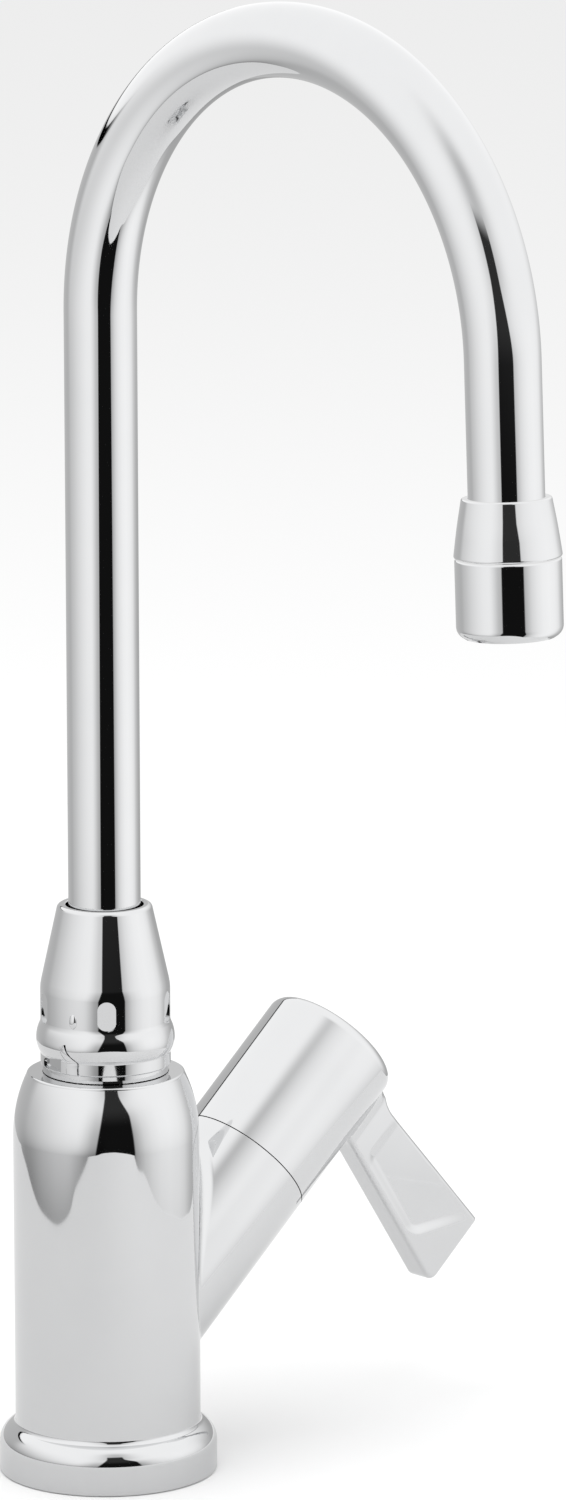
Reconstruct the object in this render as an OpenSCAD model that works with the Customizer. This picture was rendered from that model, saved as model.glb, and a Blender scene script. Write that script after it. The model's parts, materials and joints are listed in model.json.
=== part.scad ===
// Single-hole basin mixer with a swivelling gooseneck spout and one side lever.
// Millimetres, +Z up. The origin is on the body's axis at the deck plane, the spout points to -Y
// and the handle branch leans to +X.

/* [Body] */
// Height of the body above the deck
body_h = 108.5; // [100:0.5:130]
// Radius of the body's straight part
body_r = 24.65; // [23.5:0.05:28]
// Wall of the cast body around its hollow foot
body_wall = 4; // [3:0.5:5.5]
// Height of the shoulder that curves in to the body's top
shoulder_h = 18.5; // [14:0.5:24]
// Radius of the body's flat top
body_top_r = 20.9; // [20:0.1:22.5]
// Radius of the base flange
flange_r = 29; // [28:0.1:34]
// Height of the flange's upright edge
flange_edge_h = 7.2; // [5:0.1:9]
// Radius of the flange's rounded crown
flange_crown_r = 5.9; // [4.5:0.1:6.5]
// Height of the shoulder inside the foot that carries the supply tubes
foot_h = 24; // [20:0.5:26]
// Radius of the waterway that rises through the body
riser_r = 4.5; // [3.5:0.1:5.5]

/* [Branch] */
// Rise of the handle branch above the horizontal, in degrees
branch_angle = 41; // [38:0.5:45]
// Height at which the branch axis crosses the body axis
branch_z = 33.4; // [32:0.1:38]
// Radius of the branch and of the handle hub
branch_r = 19.1; // [18:0.1:20]
// Distance along the branch axis from the body axis to the parting line
branch_len = 63.6; // [61:0.1:72]
// Wall of the branch around the cartridge socket
branch_wall = 3.5; // [3:0.1:4]
// Depth of the cartridge socket
socket_depth = 37.6; // [36:0.1:39]

/* [Handle] */
// Gap at the parting line between branch and hub
hub_gap = 0.4; // [0.3:0.05:0.8]
// Length of the hub along the branch axis
hub_len = 43.6; // [41:0.1:50]
// Rounding of the hub's outer edge
hub_edge_r = 3.1; // [1:0.1:4]
// Thickness of the hub's top wall
hub_top_wall = 4; // [3:0.1:5]
// Distance from the hub's axis to the tip of the lever
lever_reach = 76.9; // [65:0.1:95]
// Thickness of the lever blade
lever_t = 8.4; // [6:0.1:10]
// Width of the lever blade at its tip
lever_tip_w = 23.3; // [18:0.1:26]
// Width of the lever blade at its neck
lever_neck_w = 16.3; // [12:0.1:19]
// Distance from the hub's top down to the outer edge of the lever's tip
lever_tip_inset = 0.9; // [0.2:0.1:4]
// Turn of the handle from closed to fully open, in degrees
handle_travel = 105; // [90:1:120]

/* [Spout] */
// Outside diameter of the gooseneck tube
tube_od = 19.05; // [17:0.05:20]
// Wall of the gooseneck tube
tube_wall = 1.2; // [1:0.1:1.6]
// Reach of the gooseneck from axis to axis
spout_reach = 152; // [120:1:220]
// Rise from the body's top to the centre of the gooseneck's bend
spout_rise = 202.3; // [150:0.5:300]
// Outward lean of the outlet, in degrees
outlet_lean = 2.5; // [0:0.5:10]
// Length of straight tube from the end of the bend to the adapter's lip
tail_len = 33.5; // [20:0.5:50]

/* [Collar] */
// Height of the neck ring that shows under the collar
neck_h = 2.2; // [1:0.1:4]
// Height of the collar
collar_h = 42.9; // [40:0.1:52]
// Radius of the collar's straight part
collar_r = 17.26; // [17:0.05:19]
// Radius of the collar's skirt
skirt_r = 17.42; // [17.2:0.02:18.4]
// How far the collar's bulge stands out
bulge_out = 1.15; // [0.5:0.05:1.5]
// Radius of the collar's top edge
collar_top_r = 12.9; // [12.6:0.1:15]
// Gap between the collar's mouth and the tube
mouth_gap = 0.75; // [0.4:0.05:1.2]
// Number of wrench flats on the collar
flat_count = 5; // [4:1:6]
// Depth of the wrench flats
flat_depth = 0.35; // [0.2:0.05:0.5]

/* [Outlet] */
// Length of the outlet adapter
adapter_len = 14.7; // [13:0.1:20]
// Radius of the adapter's lip on the tube
adapter_lip_r = 11.2; // [10.9:0.1:12]
// Radius of the adapter's lower edge
adapter_r = 13.5; // [13.3:0.1:15]
// Radius of the aerator housing
aerator_r = 13.26; // [13.1:0.02:14.5]
// Length of the aerator housing
aerator_len = 19.6; // [18:0.1:26]

/* [Deck mounting] */
// Thickness of the deck that the mixer is clamped to
deck_t = 20; // [5:1:30]
// Radius of the mounting shank
shank_r = 16.5; // [16.3:0.05:17.5]
// Length of the shank below the deck's upper face
shank_len = 62; // [60:1:80]
// Radius of the copper supply tubes
supply_r = 4.76; // [4.5:0.02:4.9]
// Distance of each supply tube from the body axis
supply_offset = 8.3; // [8.2:0.1:8.6]
// Reach of the supply tubes below the deck's upper face
supply_drop = 78; // [76:1:120]
// Radius of the supply adapters' threaded ends
inlet_r = 7.14; // [6.9:0.02:7.2]
// Length of the supply adapters' threaded ends
inlet_len = 12; // [10:0.5:16]

/* [Fits] */
// Radial clearance of parts that turn in each other
run_fit = 0.05; // [0.03:0.01:0.08]
// Radial clearance of parts that are fixed in each other
slip_fit = 0.1; // [0.06:0.01:0.15]

/* [Hidden] */
$fn = 96;
eps = 0.01;

// Body
shoulder_z = body_h - shoulder_h;
top_edge_r = 0.6;
foot_fillet_r = 1.5;
foot_r = body_r - body_wall;
base_chamfer = 0.4;
web_t = 8;
web_w = 18;
web_top = foot_h + web_t;

// Deck mounting
shank_wall = 2.5;
shank_bore_r = shank_r - shank_wall;
shank_grip = 14;
pilot_len = 16;
pilot_r = shank_r - 0.3;
gasket_in = shank_r + 4;
gasket_out = flange_r - 3;
gasket_t = 1.8;
washer_r = shank_r + 8;
rubber_t = 3;
steel_t = 2;
nut_h = 9;
nut_r = shank_r + 6;
nut_lugs = 6;
adapter_collar_h = 8;
supply_socket = 6;
supply_grip = 5;
supply_wall = 0.9;

// Spout socket in the body's top and the swivel
nipple_r = 14.6;
nipple_depth = 14;
nipple_neck_r = skirt_r - 0.8;
thread_r = 15.2;
nipple_rise = 13;
swivel_r = 12.4;
swivel_floor = 4;
ferrule_r = swivel_r - run_fit;
ferrule_lip_r = 13.9;
ferrule_lip_h = 8.2;
ferrule_foot = 3;
bearing_t = 0.8;
seal_w = 1.85;
seal_h = 2.2;
seal_groove_h = 2.4;
tube_r = tube_od / 2;
tube_bore_r = tube_r - tube_wall;
braze_gap = 0.05;
tail_step = 0.02;
tail_overlap = 0.5;

nipple_bottom = body_h - nipple_depth;
nipple_top = body_h + nipple_rise;
ferrule_bottom = nipple_bottom + swivel_floor + 0.5;
lip_bottom = nipple_top + bearing_t;
lip_top = lip_bottom + ferrule_lip_h;
tube_bottom = ferrule_bottom + ferrule_foot;
collar_z = body_h + neck_h;
collar_top = collar_z + collar_h;
collar_shoulder = lip_top + bearing_t;
mouth_r = tube_r + mouth_gap;

// Collar outline, as heights above its lower edge
skirt_h = 2.7;
bulge_h = 10.1;
cone_drop = 20.7;
top_round = 1.2;
bulge_r = skirt_r + bulge_out;
flat_w = 4.9;
flat_h = 8.2;
flat_mid = 16;
first_flat = -129.1;
screw_angle = -157.2;
screw_mid = 15.3;
screw_r = 1.5;
screw_sunk = 0.5;
slit_angle = -152.8;
slit_w = 0.45;
window_start = -196;
window_sweep = 30;
window_low = 0.6;
window_high = 3.9;
window_depth = 0.7;

// Gooseneck
bend_r = spout_reach / 2;
bend_z = body_h + spout_rise;
bend_sweep = 180 - outlet_lean;

// Outlet, as distances along the flow from the adapter's lip
tube_in_adapter = 11;
outlet_joint = 0.4;
aerator_thread_r = 11;
aerator_thread_h = 6;
aerator_bore_r = aerator_thread_r + slip_fit;
aerator_lip_r = 9.6;
aerator_round = 3;
aerator_floor = 1.6;
water_r = 8;
washer_t = 1.2;
regulator_t = 2.4;
insert_r = aerator_bore_r - slip_fit;
screen_t = 0.5;
aerator_z = adapter_len + outlet_joint;
thread_end = adapter_len + aerator_thread_h;
insert_floor = aerator_z + aerator_len - aerator_floor - screen_t;

// Cartridge, as distances along the branch axis
seat_s = branch_len - socket_depth;
socket_r = branch_r - branch_wall;
seal_stand = 0.3;
port_seal_t = 1.5;
port_seal_r = 3.4;
port_r = 2.4;
port_pitch = 8;
port_spread = 22.5;
mix_r = 3.2;
housing_r = socket_r - slip_fit;
housing_wall = 2.7;
housing_floor = 5;
housing_h = 21.7;
chamber_r = housing_r - housing_wall;
disc_r = chamber_r - slip_fit;
disc_t = 4;
disc_gap = 0.02;
key_w = 3;
key_out = 1.2;
moving_r = chamber_r - 0.5;
channel_depth = 2;
driver_r = chamber_r - 1;
driver_t = 4;
lug_h = 1.2;
lug_w = 3;
stem_r = 5;
spline_r = 4.5;
spline_teeth = 12;
spline_cut = 0.5;
stem_washer_t = 1;
cap_flange_t = 2.5;
cap_plug = 3.4;
stop_in = 7.6;
stop_clear = 0.3;
stop_out = 10.2;
stop_h = 3;
stop_tab = 24;
stem_top_gap = 0.8;
nut_bore_r = 12;
nut_recess = 3.6;
glide_wall = 2.6;
glide_spigot = 3.4;
glide_rise = 6.4;

housing_s = seat_s + seal_stand;
chamber_s = housing_s + housing_floor;
moving_s = chamber_s + disc_t + disc_gap;
driver_s = moving_s + disc_t + disc_gap;
stem_washer_s = driver_s + driver_t;
cap_s = housing_s + housing_h;
cap_plug_s = cap_s - cap_plug;
cap_top_s = cap_s + cap_flange_t;
limit_s = cap_top_s + 0.05;
limit_t = stop_h - 0.3;
nut_top_s = branch_len - nut_recess;
stem_top_s = branch_len + 15;

// Handle, as distances along the branch axis
hub_s = branch_len + hub_gap;
hub_top = hub_s + hub_len;
hub_r = branch_r;
glide_r = hub_r - glide_wall;
hub_bore_r = glide_r + run_fit;
hub_skirt = glide_rise + 0.6;
hub_wall = 3.6;
boss_r = stop_in - stop_clear;
boss_s = limit_s + limit_t + 0.2;
spline_end = stem_top_s + stem_top_gap;
screw_floor_t = 2.4;
screw_seat = spline_end + screw_floor_t;
screw_head_r = 3.8;
screw_head_h = 3;
screw_shank_r = 1.95;
screw_bite = 11;
well_r = 4.6;
cap_r = 8;
cap_recess = 1.8;
cap_spigot = 6;
lever_mid_s = hub_top - lever_tip_inset - lever_tip_w / 2;
lever_neck_s = hub_top - 1.7 - lever_neck_w / 2;
lever_neck_d = 30;
lever_corner = 3;
neck_sweep_r = 12;

function arc_points(cx, cy, r, from, to, steps) =
    [for (i = [0:steps]) let (t = from + (to - from) * i / steps) [cx + r * cos(t), cy + r * sin(t)]];
// Centre of the circle that a drop inwards over a height gives, tangent to the upright wall
function ogive_r(height, drop) = (height * height + drop * drop) / (2 * drop);

module ring(outer, inner, height) {
    difference() {
        cylinder(r = outer, h = height);
        translate([0, 0, -eps])
            cylinder(r = inner, h = height + 2 * eps);
    }
}

// A round bar between two points
module bar(from, to, r) {
    v = to - from;
    length = norm(v);
    translate(from)
        rotate([0, acos(v[2] / length), atan2(v[1], v[0])])
            cylinder(r = r, h = length);
}

// Puts its children on the branch axis, with +Z outwards along it and +X down and outwards
module on_branch(s) {
    translate([0, 0, branch_z])
        rotate([0, 90 - branch_angle, 0])
            translate([0, 0, s])
                children();
}

// Puts its children on the outlet's axis, with +Z along the flow, starting at the end of the bend
module on_outlet(d) {
    translate([0, -bend_r, bend_z])
        rotate([bend_sweep, 0, 0])
            translate([0, bend_r, d])
                children();
}

// Body casting

function crown_fillet_z() =
    flange_edge_h + sqrt(pow(flange_crown_r + foot_fillet_r, 2)
        - pow(body_r + foot_fillet_r - flange_r + flange_crown_r, 2));
function crown_angle() =
    atan2(crown_fillet_z() - flange_edge_h, body_r + foot_fillet_r - flange_r + flange_crown_r);

module body_outline() {
    drop = body_r - body_top_r;
    rise = shoulder_h - top_edge_r;
    shoulder_r = ogive_r(rise, drop);
    rotate_extrude()
        polygon(concat(
            [[0, 0], [flange_r - base_chamfer, 0], [flange_r, base_chamfer]],
            arc_points(flange_r - flange_crown_r, flange_edge_h, flange_crown_r, 0, crown_angle(), 8),
            arc_points(body_r + foot_fillet_r, crown_fillet_z(), foot_fillet_r,
                180 + crown_angle(), 180, 5),
            arc_points(body_r - shoulder_r, shoulder_z, shoulder_r, 0, asin(rise / shoulder_r), 10),
            arc_points(body_top_r - top_edge_r, body_h - top_edge_r, top_edge_r, 15, 90, 4),
            [[0, body_h]]
        ));
}

// Where a port of the cartridge meets the socket's floor, in the part's frame
function port_point(side) =
    let (u = port_pitch * cos(port_spread), v = side * port_pitch * sin(port_spread))
    [seat_s * cos(branch_angle) + u * sin(branch_angle), v,
        branch_z + seat_s * sin(branch_angle) - u * cos(branch_angle)];
function supply_point(side) = [0, side * supply_offset, web_top - supply_grip + 1];
function past(from, to, extra) = to + (to - from) * (extra / norm(to - from));

module faucet_body() {
    socket_wall = 3;
    core_top = nipple_bottom - socket_wall - shoulder_h / 2;
    color("gainsboro")
        difference() {
            union() {
                difference() {
                    union() {
                        body_outline();
                        on_branch(0)
                            cylinder(r = branch_r, h = branch_len);
                    }
                    // The hollow of the casting
                    translate([0, 0, shank_grip])
                        cylinder(r = foot_r, h = core_top - shank_grip);
                }
                // Web, riser and socket housing stand inside the hollow
                translate([-web_w / 2, -foot_r - 1, foot_h])
                    cube([web_w, 2 * foot_r + 2, web_t]);
                translate([0, 0, web_top - 1])
                    cylinder(r = riser_r + socket_wall, h = core_top - web_top + 2);
                intersection() {
                    union() {
                        on_branch(seat_s - 6)
                            cylinder(r = socket_r + socket_wall, h = socket_depth);
                        for (side = [-1, 1])
                            bar(supply_point(side), port_point(side), port_r + 2.6);
                        on_branch(0)
                            cylinder(r = mix_r + 2.6, h = seat_s);
                    }
                    translate([0, 0, foot_h])
                        cylinder(r = body_r - 1, h = body_h - foot_h - shoulder_h / 2);
                }
            }
            // Thread for the shank and groove for the base gasket
            translate([0, 0, -eps])
                cylinder(r = shank_r + slip_fit, h = shank_grip + 2 * eps);
            translate([0, 0, -eps])
                ring(gasket_out, gasket_in, gasket_t + eps);
            // Sockets of the supply tubes and the two ways up to the cartridge
            for (side = [-1, 1]) {
                translate([0, side * supply_offset, foot_h - eps])
                    cylinder(r = supply_r + slip_fit, h = supply_grip + eps);
                bar(supply_point(side) - [0, 0, 2], past(supply_point(side), port_point(side), 1.2), port_r);
            }
            // Cartridge socket, the mixed water's way back and the riser
            on_branch(seat_s)
                cylinder(r = socket_r, h = socket_depth + 1);
            on_branch(0)
                cylinder(r = mix_r, h = seat_s + 1);
            translate([0, 0, branch_z])
                cylinder(r = riser_r, h = body_h - branch_z);
            translate([0, 0, nipple_bottom])
                cylinder(r = nipple_r + slip_fit, h = nipple_depth + 1);
        }
}

module base_gasket() {
    color("dimgray")
        ring(gasket_out - slip_fit, gasket_in + slip_fit, gasket_t - slip_fit);
}

// Deck mounting

module mounting_shank() {
    color("goldenrod")
        translate([0, 0, -shank_len]) {
            ring(pilot_r, shank_bore_r, pilot_len + eps);
            translate([0, 0, pilot_len])
                ring(shank_r, shank_bore_r, shank_len + shank_grip - pilot_len);
        }
}

module rubber_washer() {
    color("dimgray")
        translate([0, 0, -deck_t - rubber_t])
            ring(washer_r, shank_r + slip_fit, rubber_t);
}

module steel_washer() {
    color("silver")
        translate([0, 0, -deck_t - rubber_t - steel_t])
            ring(washer_r, shank_r + slip_fit, steel_t);
}

module mounting_nut() {
    lug = 5;
    lug_r = nut_r + 2.2;
    color("goldenrod")
        translate([0, 0, -deck_t - rubber_t - steel_t - nut_h])
            difference() {
                union() {
                    cylinder(r = nut_r, h = nut_h);
                    for (i = [0:nut_lugs - 1])
                        rotate([0, 0, i * 360 / nut_lugs])
                            translate([0, -lug / 2, 0])
                                cube([lug_r, lug, nut_h - 2]);
                }
                translate([0, 0, -eps])
                    cylinder(r = shank_r + slip_fit, h = nut_h + 2 * eps);
            }
}

module supply_tube(side) {
    color("chocolate")
        translate([0, side * supply_offset, -supply_drop])
            ring(supply_r, supply_r - supply_wall, supply_drop + foot_h + supply_grip - 0.5);
}

module hot_supply_tube() {
    supply_tube(-1);
}

module cold_supply_tube() {
    supply_tube(1);
}

module supply_adapter(side) {
    collar = inlet_r + 0.6;
    flat_rise = 0.1;
    socket_wall = 1.4;
    color("goldenrod")
        translate([0, side * supply_offset, -supply_drop - adapter_collar_h - inlet_len + supply_socket])
            difference() {
                union() {
                    cylinder(r = inlet_r, h = inlet_len + eps);
                    translate([0, 0, inlet_len])
                        intersection() {
                            cylinder(r = collar, h = adapter_collar_h);
                            cube([3 * collar, 2 * (inlet_r + flat_rise), 3 * adapter_collar_h], center = true);
                        }
                }
                translate([0, 0, -eps])
                    cylinder(r = supply_r - socket_wall, h = inlet_len + adapter_collar_h);
                translate([0, 0, inlet_len + adapter_collar_h - supply_socket])
                    cylinder(r = supply_r + slip_fit, h = supply_socket + eps);
                // Seat of the sealing cone
                translate([0, 0, -eps])
                    rotate_extrude()
                        polygon([[0, 0], [5.4, 0], [supply_r - socket_wall, 3.6], [0, 3.6]]);
            }
}

module hot_supply_adapter() {
    supply_adapter(-1);
}

module cold_supply_adapter() {
    supply_adapter(1);
}

// Swivel at the body's top

module spout_nipple() {
    color("gainsboro")
        difference() {
            union() {
                translate([0, 0, nipple_bottom])
                    cylinder(r = nipple_r, h = nipple_depth + eps);
                translate([0, 0, body_h])
                    cylinder(r = nipple_neck_r, h = neck_h);
                translate([0, 0, body_h])
                    cylinder(r = thread_r, h = nipple_rise);
            }
            translate([0, 0, nipple_bottom - eps])
                cylinder(r = riser_r, h = swivel_floor + 2 * eps);
            translate([0, 0, nipple_bottom + swivel_floor])
                cylinder(r = swivel_r, h = nipple_top - nipple_bottom);
        }
}

module spout_ferrule() {
    color("gainsboro")
        difference() {
            union() {
                translate([0, 0, ferrule_bottom])
                    cylinder(r = ferrule_r, h = lip_bottom - ferrule_bottom + eps);
                translate([0, 0, lip_bottom])
                    cylinder(r = ferrule_lip_r, h = ferrule_lip_h);
            }
            translate([0, 0, ferrule_bottom - eps])
                cylinder(r = tube_bore_r, h = lip_top);
            translate([0, 0, tube_bottom])
                cylinder(r = tube_r + braze_gap, h = lip_top);
            for (z = seal_heights())
                translate([0, 0, z])
                    ring(ferrule_r + 1, ferrule_r - seal_w, seal_groove_h);
        }
}

function seal_heights() =
    let (span = nipple_top - ferrule_bottom)
    [ferrule_bottom + span * 0.22, ferrule_bottom + span * 0.66];

module spout_seals() {
    color("dimgray")
        for (z = seal_heights())
            translate([0, 0, z + (seal_groove_h - seal_h) / 2])
                ring(ferrule_r, ferrule_r - seal_w + braze_gap, seal_h);
}

module lower_thrust_washer() {
    color("ivory")
        translate([0, 0, nipple_top])
            ring(ferrule_lip_r, ferrule_r + slip_fit, bearing_t);
}

module upper_bearing_ring() {
    color("ivory")
        translate([0, 0, lip_top])
            ring(ferrule_lip_r, mouth_r, bearing_t);
}

module flat_cut() {
    translate([collar_r - flat_depth, 0, 0])
        rotate([0, 90, 0]) {
            translate([-(flat_h - flat_w) / 2, -flat_w / 2, 0])
                cube([flat_h - flat_w, flat_w, 3]);
            for (end = [-1, 1])
                translate([end * (flat_h - flat_w) / 2, 0, 0])
                    cylinder(r = flat_w / 2, h = 3);
        }
}

// One short stretch of the curved slit, as degrees round the skirt and height above its edge
module slit_step(a0, z0, a1, z1) {
    wide = skirt_r * (a1 - a0) * PI / 180;
    length = norm([wide, z1 - z0]) + slit_w / 2;
    rotate([0, 0, (a0 + a1) / 2])
        translate([skirt_r - 1.2, 0, collar_z + (z0 + z1) / 2])
            rotate([atan2(z1 - z0, wide), 0, 0])
                translate([0, -length / 2, -slit_w / 2])
                    cube([4, length, slit_w]);
}

module spout_collar() {
    bulge_arc = ogive_r(bulge_h / 2, bulge_out);
    bulge_half = asin(bulge_h / 2 / bulge_arc);
    cone_z = collar_top - cone_drop;
    rounded = collar_top - top_round;
    color("gainsboro")
        difference() {
            rotate_extrude()
                polygon(concat(
                    [[0, collar_z], [skirt_r - 0.3, collar_z], [skirt_r, collar_z + 0.3]],
                    arc_points(bulge_r - bulge_arc, collar_z + skirt_h + bulge_h / 2, bulge_arc,
                        -bulge_half, bulge_half * 0.96, 10),
                    [[collar_r, collar_z + skirt_h + bulge_h], [collar_r, cone_z],
                        [collar_top_r, rounded]],
                    arc_points(collar_top_r - top_round, rounded, top_round, 20, 90, 4),
                    [[0, collar_top]]
                ));
            translate([0, 0, collar_z - eps])
                cylinder(r = thread_r + slip_fit, h = nipple_top - collar_z + eps);
            translate([0, 0, nipple_top - eps])
                cylinder(r = ferrule_lip_r + 0.4, h = collar_shoulder - nipple_top + eps);
            translate([0, 0, collar_shoulder - eps])
                cylinder(r = mouth_r, h = collar_h);
            for (i = [0:flat_count - 1])
                rotate([0, 0, first_flat + i * 360 / flat_count])
                    translate([0, 0, collar_z + flat_mid])
                        flat_cut();
            // Tapped hole of the set screw
            rotate([0, 0, screw_angle])
                translate([ferrule_lip_r, 0, collar_z + screw_mid])
                    rotate([0, 90, 0])
                        cylinder(r = screw_r + slip_fit, h = 10);
            // Slit that curves up from the skirt's edge, and the window beside it
            slit_step(slit_angle, -1, slit_angle, 3.6);
            slit_step(slit_angle, 3.5, slit_angle - 6, 4.9);
            slit_step(slit_angle - 6, 4.9, slit_angle - 11, 6.6);
            slit_step(slit_angle - 11, 6.6, slit_angle - 15, 9);
            translate([0, 0, collar_z + window_low])
                rotate([0, 0, window_start])
                    rotate_extrude(angle = window_sweep)
                        translate([skirt_r - window_depth, 0])
                            square([4, window_high - window_low]);
        }
}

module collar_set_screw() {
    outer = collar_r - screw_sunk;
    inner = ferrule_lip_r + 0.3;
    color("silver")
        rotate([0, 0, screw_angle])
            translate([inner, 0, collar_z + screw_mid])
                rotate([0, 90, 0])
                    difference() {
                        cylinder(r = screw_r, h = outer - inner);
                        translate([0, 0, (outer - inner) / 2])
                            cylinder(r = 0.8, h = outer, $fn = 6);
                    }
}

// Gooseneck

module tube_run(r, low, tail_r, over) {
    translate([0, 0, low])
        cylinder(r = r, h = bend_z - low);
    translate([0, -bend_r, bend_z])
        rotate([90, 0, 90])
            rotate_extrude(angle = bend_sweep)
                translate([bend_r, 0])
                    circle(r = r);
    on_outlet(-tail_overlap)
        cylinder(r = tail_r, h = tail_overlap + tail_len + tube_in_adapter + over);
}

// The tail is a hair thinner than the bend that it runs into
module spout_tube() {
    color("gainsboro")
        difference() {
            tube_run(tube_r, tube_bottom, tube_r - tail_step, 0);
            tube_run(tube_bore_r, tube_bottom - 1, tube_bore_r + tail_step, 1);
        }
}

module outlet_adapter() {
    lip = 0.5;
    color("gainsboro")
        on_outlet(tail_len)
            difference() {
                rotate_extrude()
                    polygon([[0, 0], [adapter_lip_r - lip, 0], [adapter_lip_r, lip],
                        [(adapter_lip_r + adapter_r) / 2 + 0.15, adapter_len / 2],
                        [adapter_r, adapter_len - lip], [adapter_r - lip, adapter_len],
                        [aerator_thread_r, adapter_len], [aerator_thread_r, thread_end],
                        [0, thread_end]]);
                translate([0, 0, -eps])
                    cylinder(r = tube_r + braze_gap, h = tube_in_adapter + 2 * eps);
                translate([0, 0, -eps])
                    cylinder(r = water_r, h = thread_end + 1);
            }
}

module aerator_housing() {
    low = aerator_len - aerator_round;
    color("gainsboro")
        on_outlet(tail_len + aerator_z)
            difference() {
                rotate_extrude()
                    polygon(concat(
                        [[0, 0], [aerator_r - 0.4, 0], [aerator_r, 0.4]],
                        arc_points(aerator_r - aerator_round, low, aerator_round, 0, 48, 5),
                        [[aerator_r - aerator_round + 1.4, aerator_len], [0, aerator_len]]
                    ));
                translate([0, 0, -eps])
                    cylinder(r = aerator_bore_r, h = aerator_len - aerator_floor + eps);
                cylinder(r = aerator_lip_r, h = aerator_len + 1);
            }
}

module aerator_washer() {
    color("dimgray")
        on_outlet(tail_len + thread_end)
            ring(aerator_thread_r, water_r, washer_t);
}

module flow_regulator() {
    color("seagreen")
        on_outlet(tail_len + thread_end + washer_t)
            difference() {
                cylinder(r = insert_r, h = regulator_t);
                for (i = [0:7])
                    rotate([0, 0, i * 45])
                        translate([6.2, 0, -eps])
                            cylinder(r = 1, h = regulator_t + 2 * eps);
            }
}

module aerator_insert() {
    start = thread_end + washer_t + regulator_t;
    color("whitesmoke")
        on_outlet(tail_len + start)
            difference() {
                cylinder(r = insert_r, h = insert_floor - start);
                translate([0, 0, -eps])
                    cylinder(r = insert_r - 1.2, h = 2);
                for (i = [0:17])
                    rotate([0, 0, i * 20])
                        translate([insert_r - 3.2, 0, -eps])
                            cylinder(r = 0.9, h = insert_floor);
                for (i = [0:8])
                    rotate([0, 0, i * 40])
                        translate([insert_r - 6.4, 0, -eps])
                            cylinder(r = 0.9, h = insert_floor);
            }
}

module aerator_screen() {
    color("silver")
        on_outlet(tail_len + insert_floor)
            difference() {
                cylinder(r = insert_r, h = screen_t);
                for (i = [-3:3])
                    for (j = [-3:3])
                        if (norm([i, j]) < 3.5)
                            translate([i * 2.4 - 0.8, j * 2.4 - 0.8, -eps])
                                cube([1.6, 1.6, screen_t + 2 * eps]);
            }
}

// Cartridge

function port_angles() = [port_spread, -port_spread];

module port_seals() {
    color("dimgray")
        on_branch(seat_s) {
            for (a = port_angles())
                rotate([0, 0, a])
                    translate([port_pitch, 0, 0])
                        ring(port_seal_r - 0.6, port_r, port_seal_t);
            ring(port_seal_r + 0.8, mix_r, port_seal_t);
        }
}

module cartridge_housing() {
    pocket = port_seal_t - seal_stand;
    color("whitesmoke")
        on_branch(housing_s)
            difference() {
                union() {
                    ring(housing_r, chamber_r, housing_h);
                    cylinder(r = chamber_r + eps, h = housing_floor);
                    for (side = [-1, 1])
                        translate([side * (chamber_r - key_out / 2 + eps), 0, housing_floor + disc_t / 2])
                            cube([key_out, key_w, disc_t + eps], center = true);
                }
                for (a = port_angles())
                    rotate([0, 0, a])
                        translate([port_pitch, 0, -eps]) {
                            cylinder(r = port_r, h = housing_floor + 2 * eps);
                            cylinder(r = port_seal_r - 0.6 + slip_fit / 2, h = pocket + eps);
                        }
                translate([0, 0, -eps])
                    cylinder(r = mix_r, h = housing_floor + 2 * eps);
                translate([0, 0, -eps])
                    cylinder(r = port_seal_r + 0.8 + slip_fit / 2, h = pocket + eps);
            }
}

module fixed_disc() {
    color("white")
        on_branch(chamber_s)
            difference() {
                cylinder(r = disc_r, h = disc_t);
                for (a = port_angles())
                    rotate([0, 0, a])
                        translate([port_pitch, 0, -eps])
                            cylinder(r = port_r, h = disc_t + 2 * eps);
                translate([0, 0, -eps])
                    cylinder(r = mix_r, h = disc_t + 2 * eps);
                for (side = [-1, 1])
                    translate([side * chamber_r, 0, disc_t / 2])
                        cube([2 * (key_out + slip_fit), key_w + 2 * slip_fit, disc_t + 1], center = true);
            }
}

// The moving disc's channel joins the middle way to one port or to both as it turns
channel_angle = port_spread + 50;

module moving_disc() {
    color("white")
        on_branch(moving_s)
            difference() {
                cylinder(r = moving_r, h = disc_t);
                translate([0, 0, -eps])
                    cylinder(r = mix_r, h = channel_depth);
                for (a = [-16:8:16])
                    rotate([0, 0, channel_angle + a])
                        translate([0, -1.6, -eps])
                            cube([port_pitch, 3.2, channel_depth]);
                for (a = [-16:8:16])
                    rotate([0, 0, channel_angle + a])
                        translate([port_pitch, 0, -eps])
                            cylinder(r = 2, h = channel_depth);
                for (side = [-1, 1])
                    translate([side * (moving_r - 2), 0, disc_t])
                        cube([4 + slip_fit, lug_w + 2 * slip_fit, 2 * (lug_h + slip_fit)], center = true);
            }
}

module spline(extra, height) {
    difference() {
        cylinder(r = spline_r + extra, h = height);
        for (i = [0:spline_teeth - 1])
            rotate([0, 0, i * 360 / spline_teeth])
                translate([spline_r + extra - spline_cut, -0.45 + extra, -1])
                    cube([2, 0.9 - 2 * extra, height + 2]);
    }
}

module cartridge_stem() {
    color("goldenrod")
        on_branch(driver_s)
            difference() {
                union() {
                    cylinder(r = driver_r, h = driver_t);
                    for (side = [-1, 1])
                        translate([side * (moving_r - 2), 0, -lug_h / 2 + eps])
                            cube([3.6, lug_w, lug_h], center = true);
                    cylinder(r = stem_r, h = cap_top_s - driver_s);
                    translate([0, 0, cap_top_s - driver_s - eps])
                        spline(0, stem_top_s - cap_top_s);
                }
                translate([0, 0, stem_seal_s() - driver_s])
                    ring(stem_r + 1, stem_r - 1.15, 2);
                translate([0, 0, stem_top_s - driver_s - screw_bite - 2])
                    cylinder(r = screw_shank_r + braze_gap, h = screw_bite + 3);
            }
}

function stem_seal_s() = cap_plug_s + 1.6;

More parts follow.
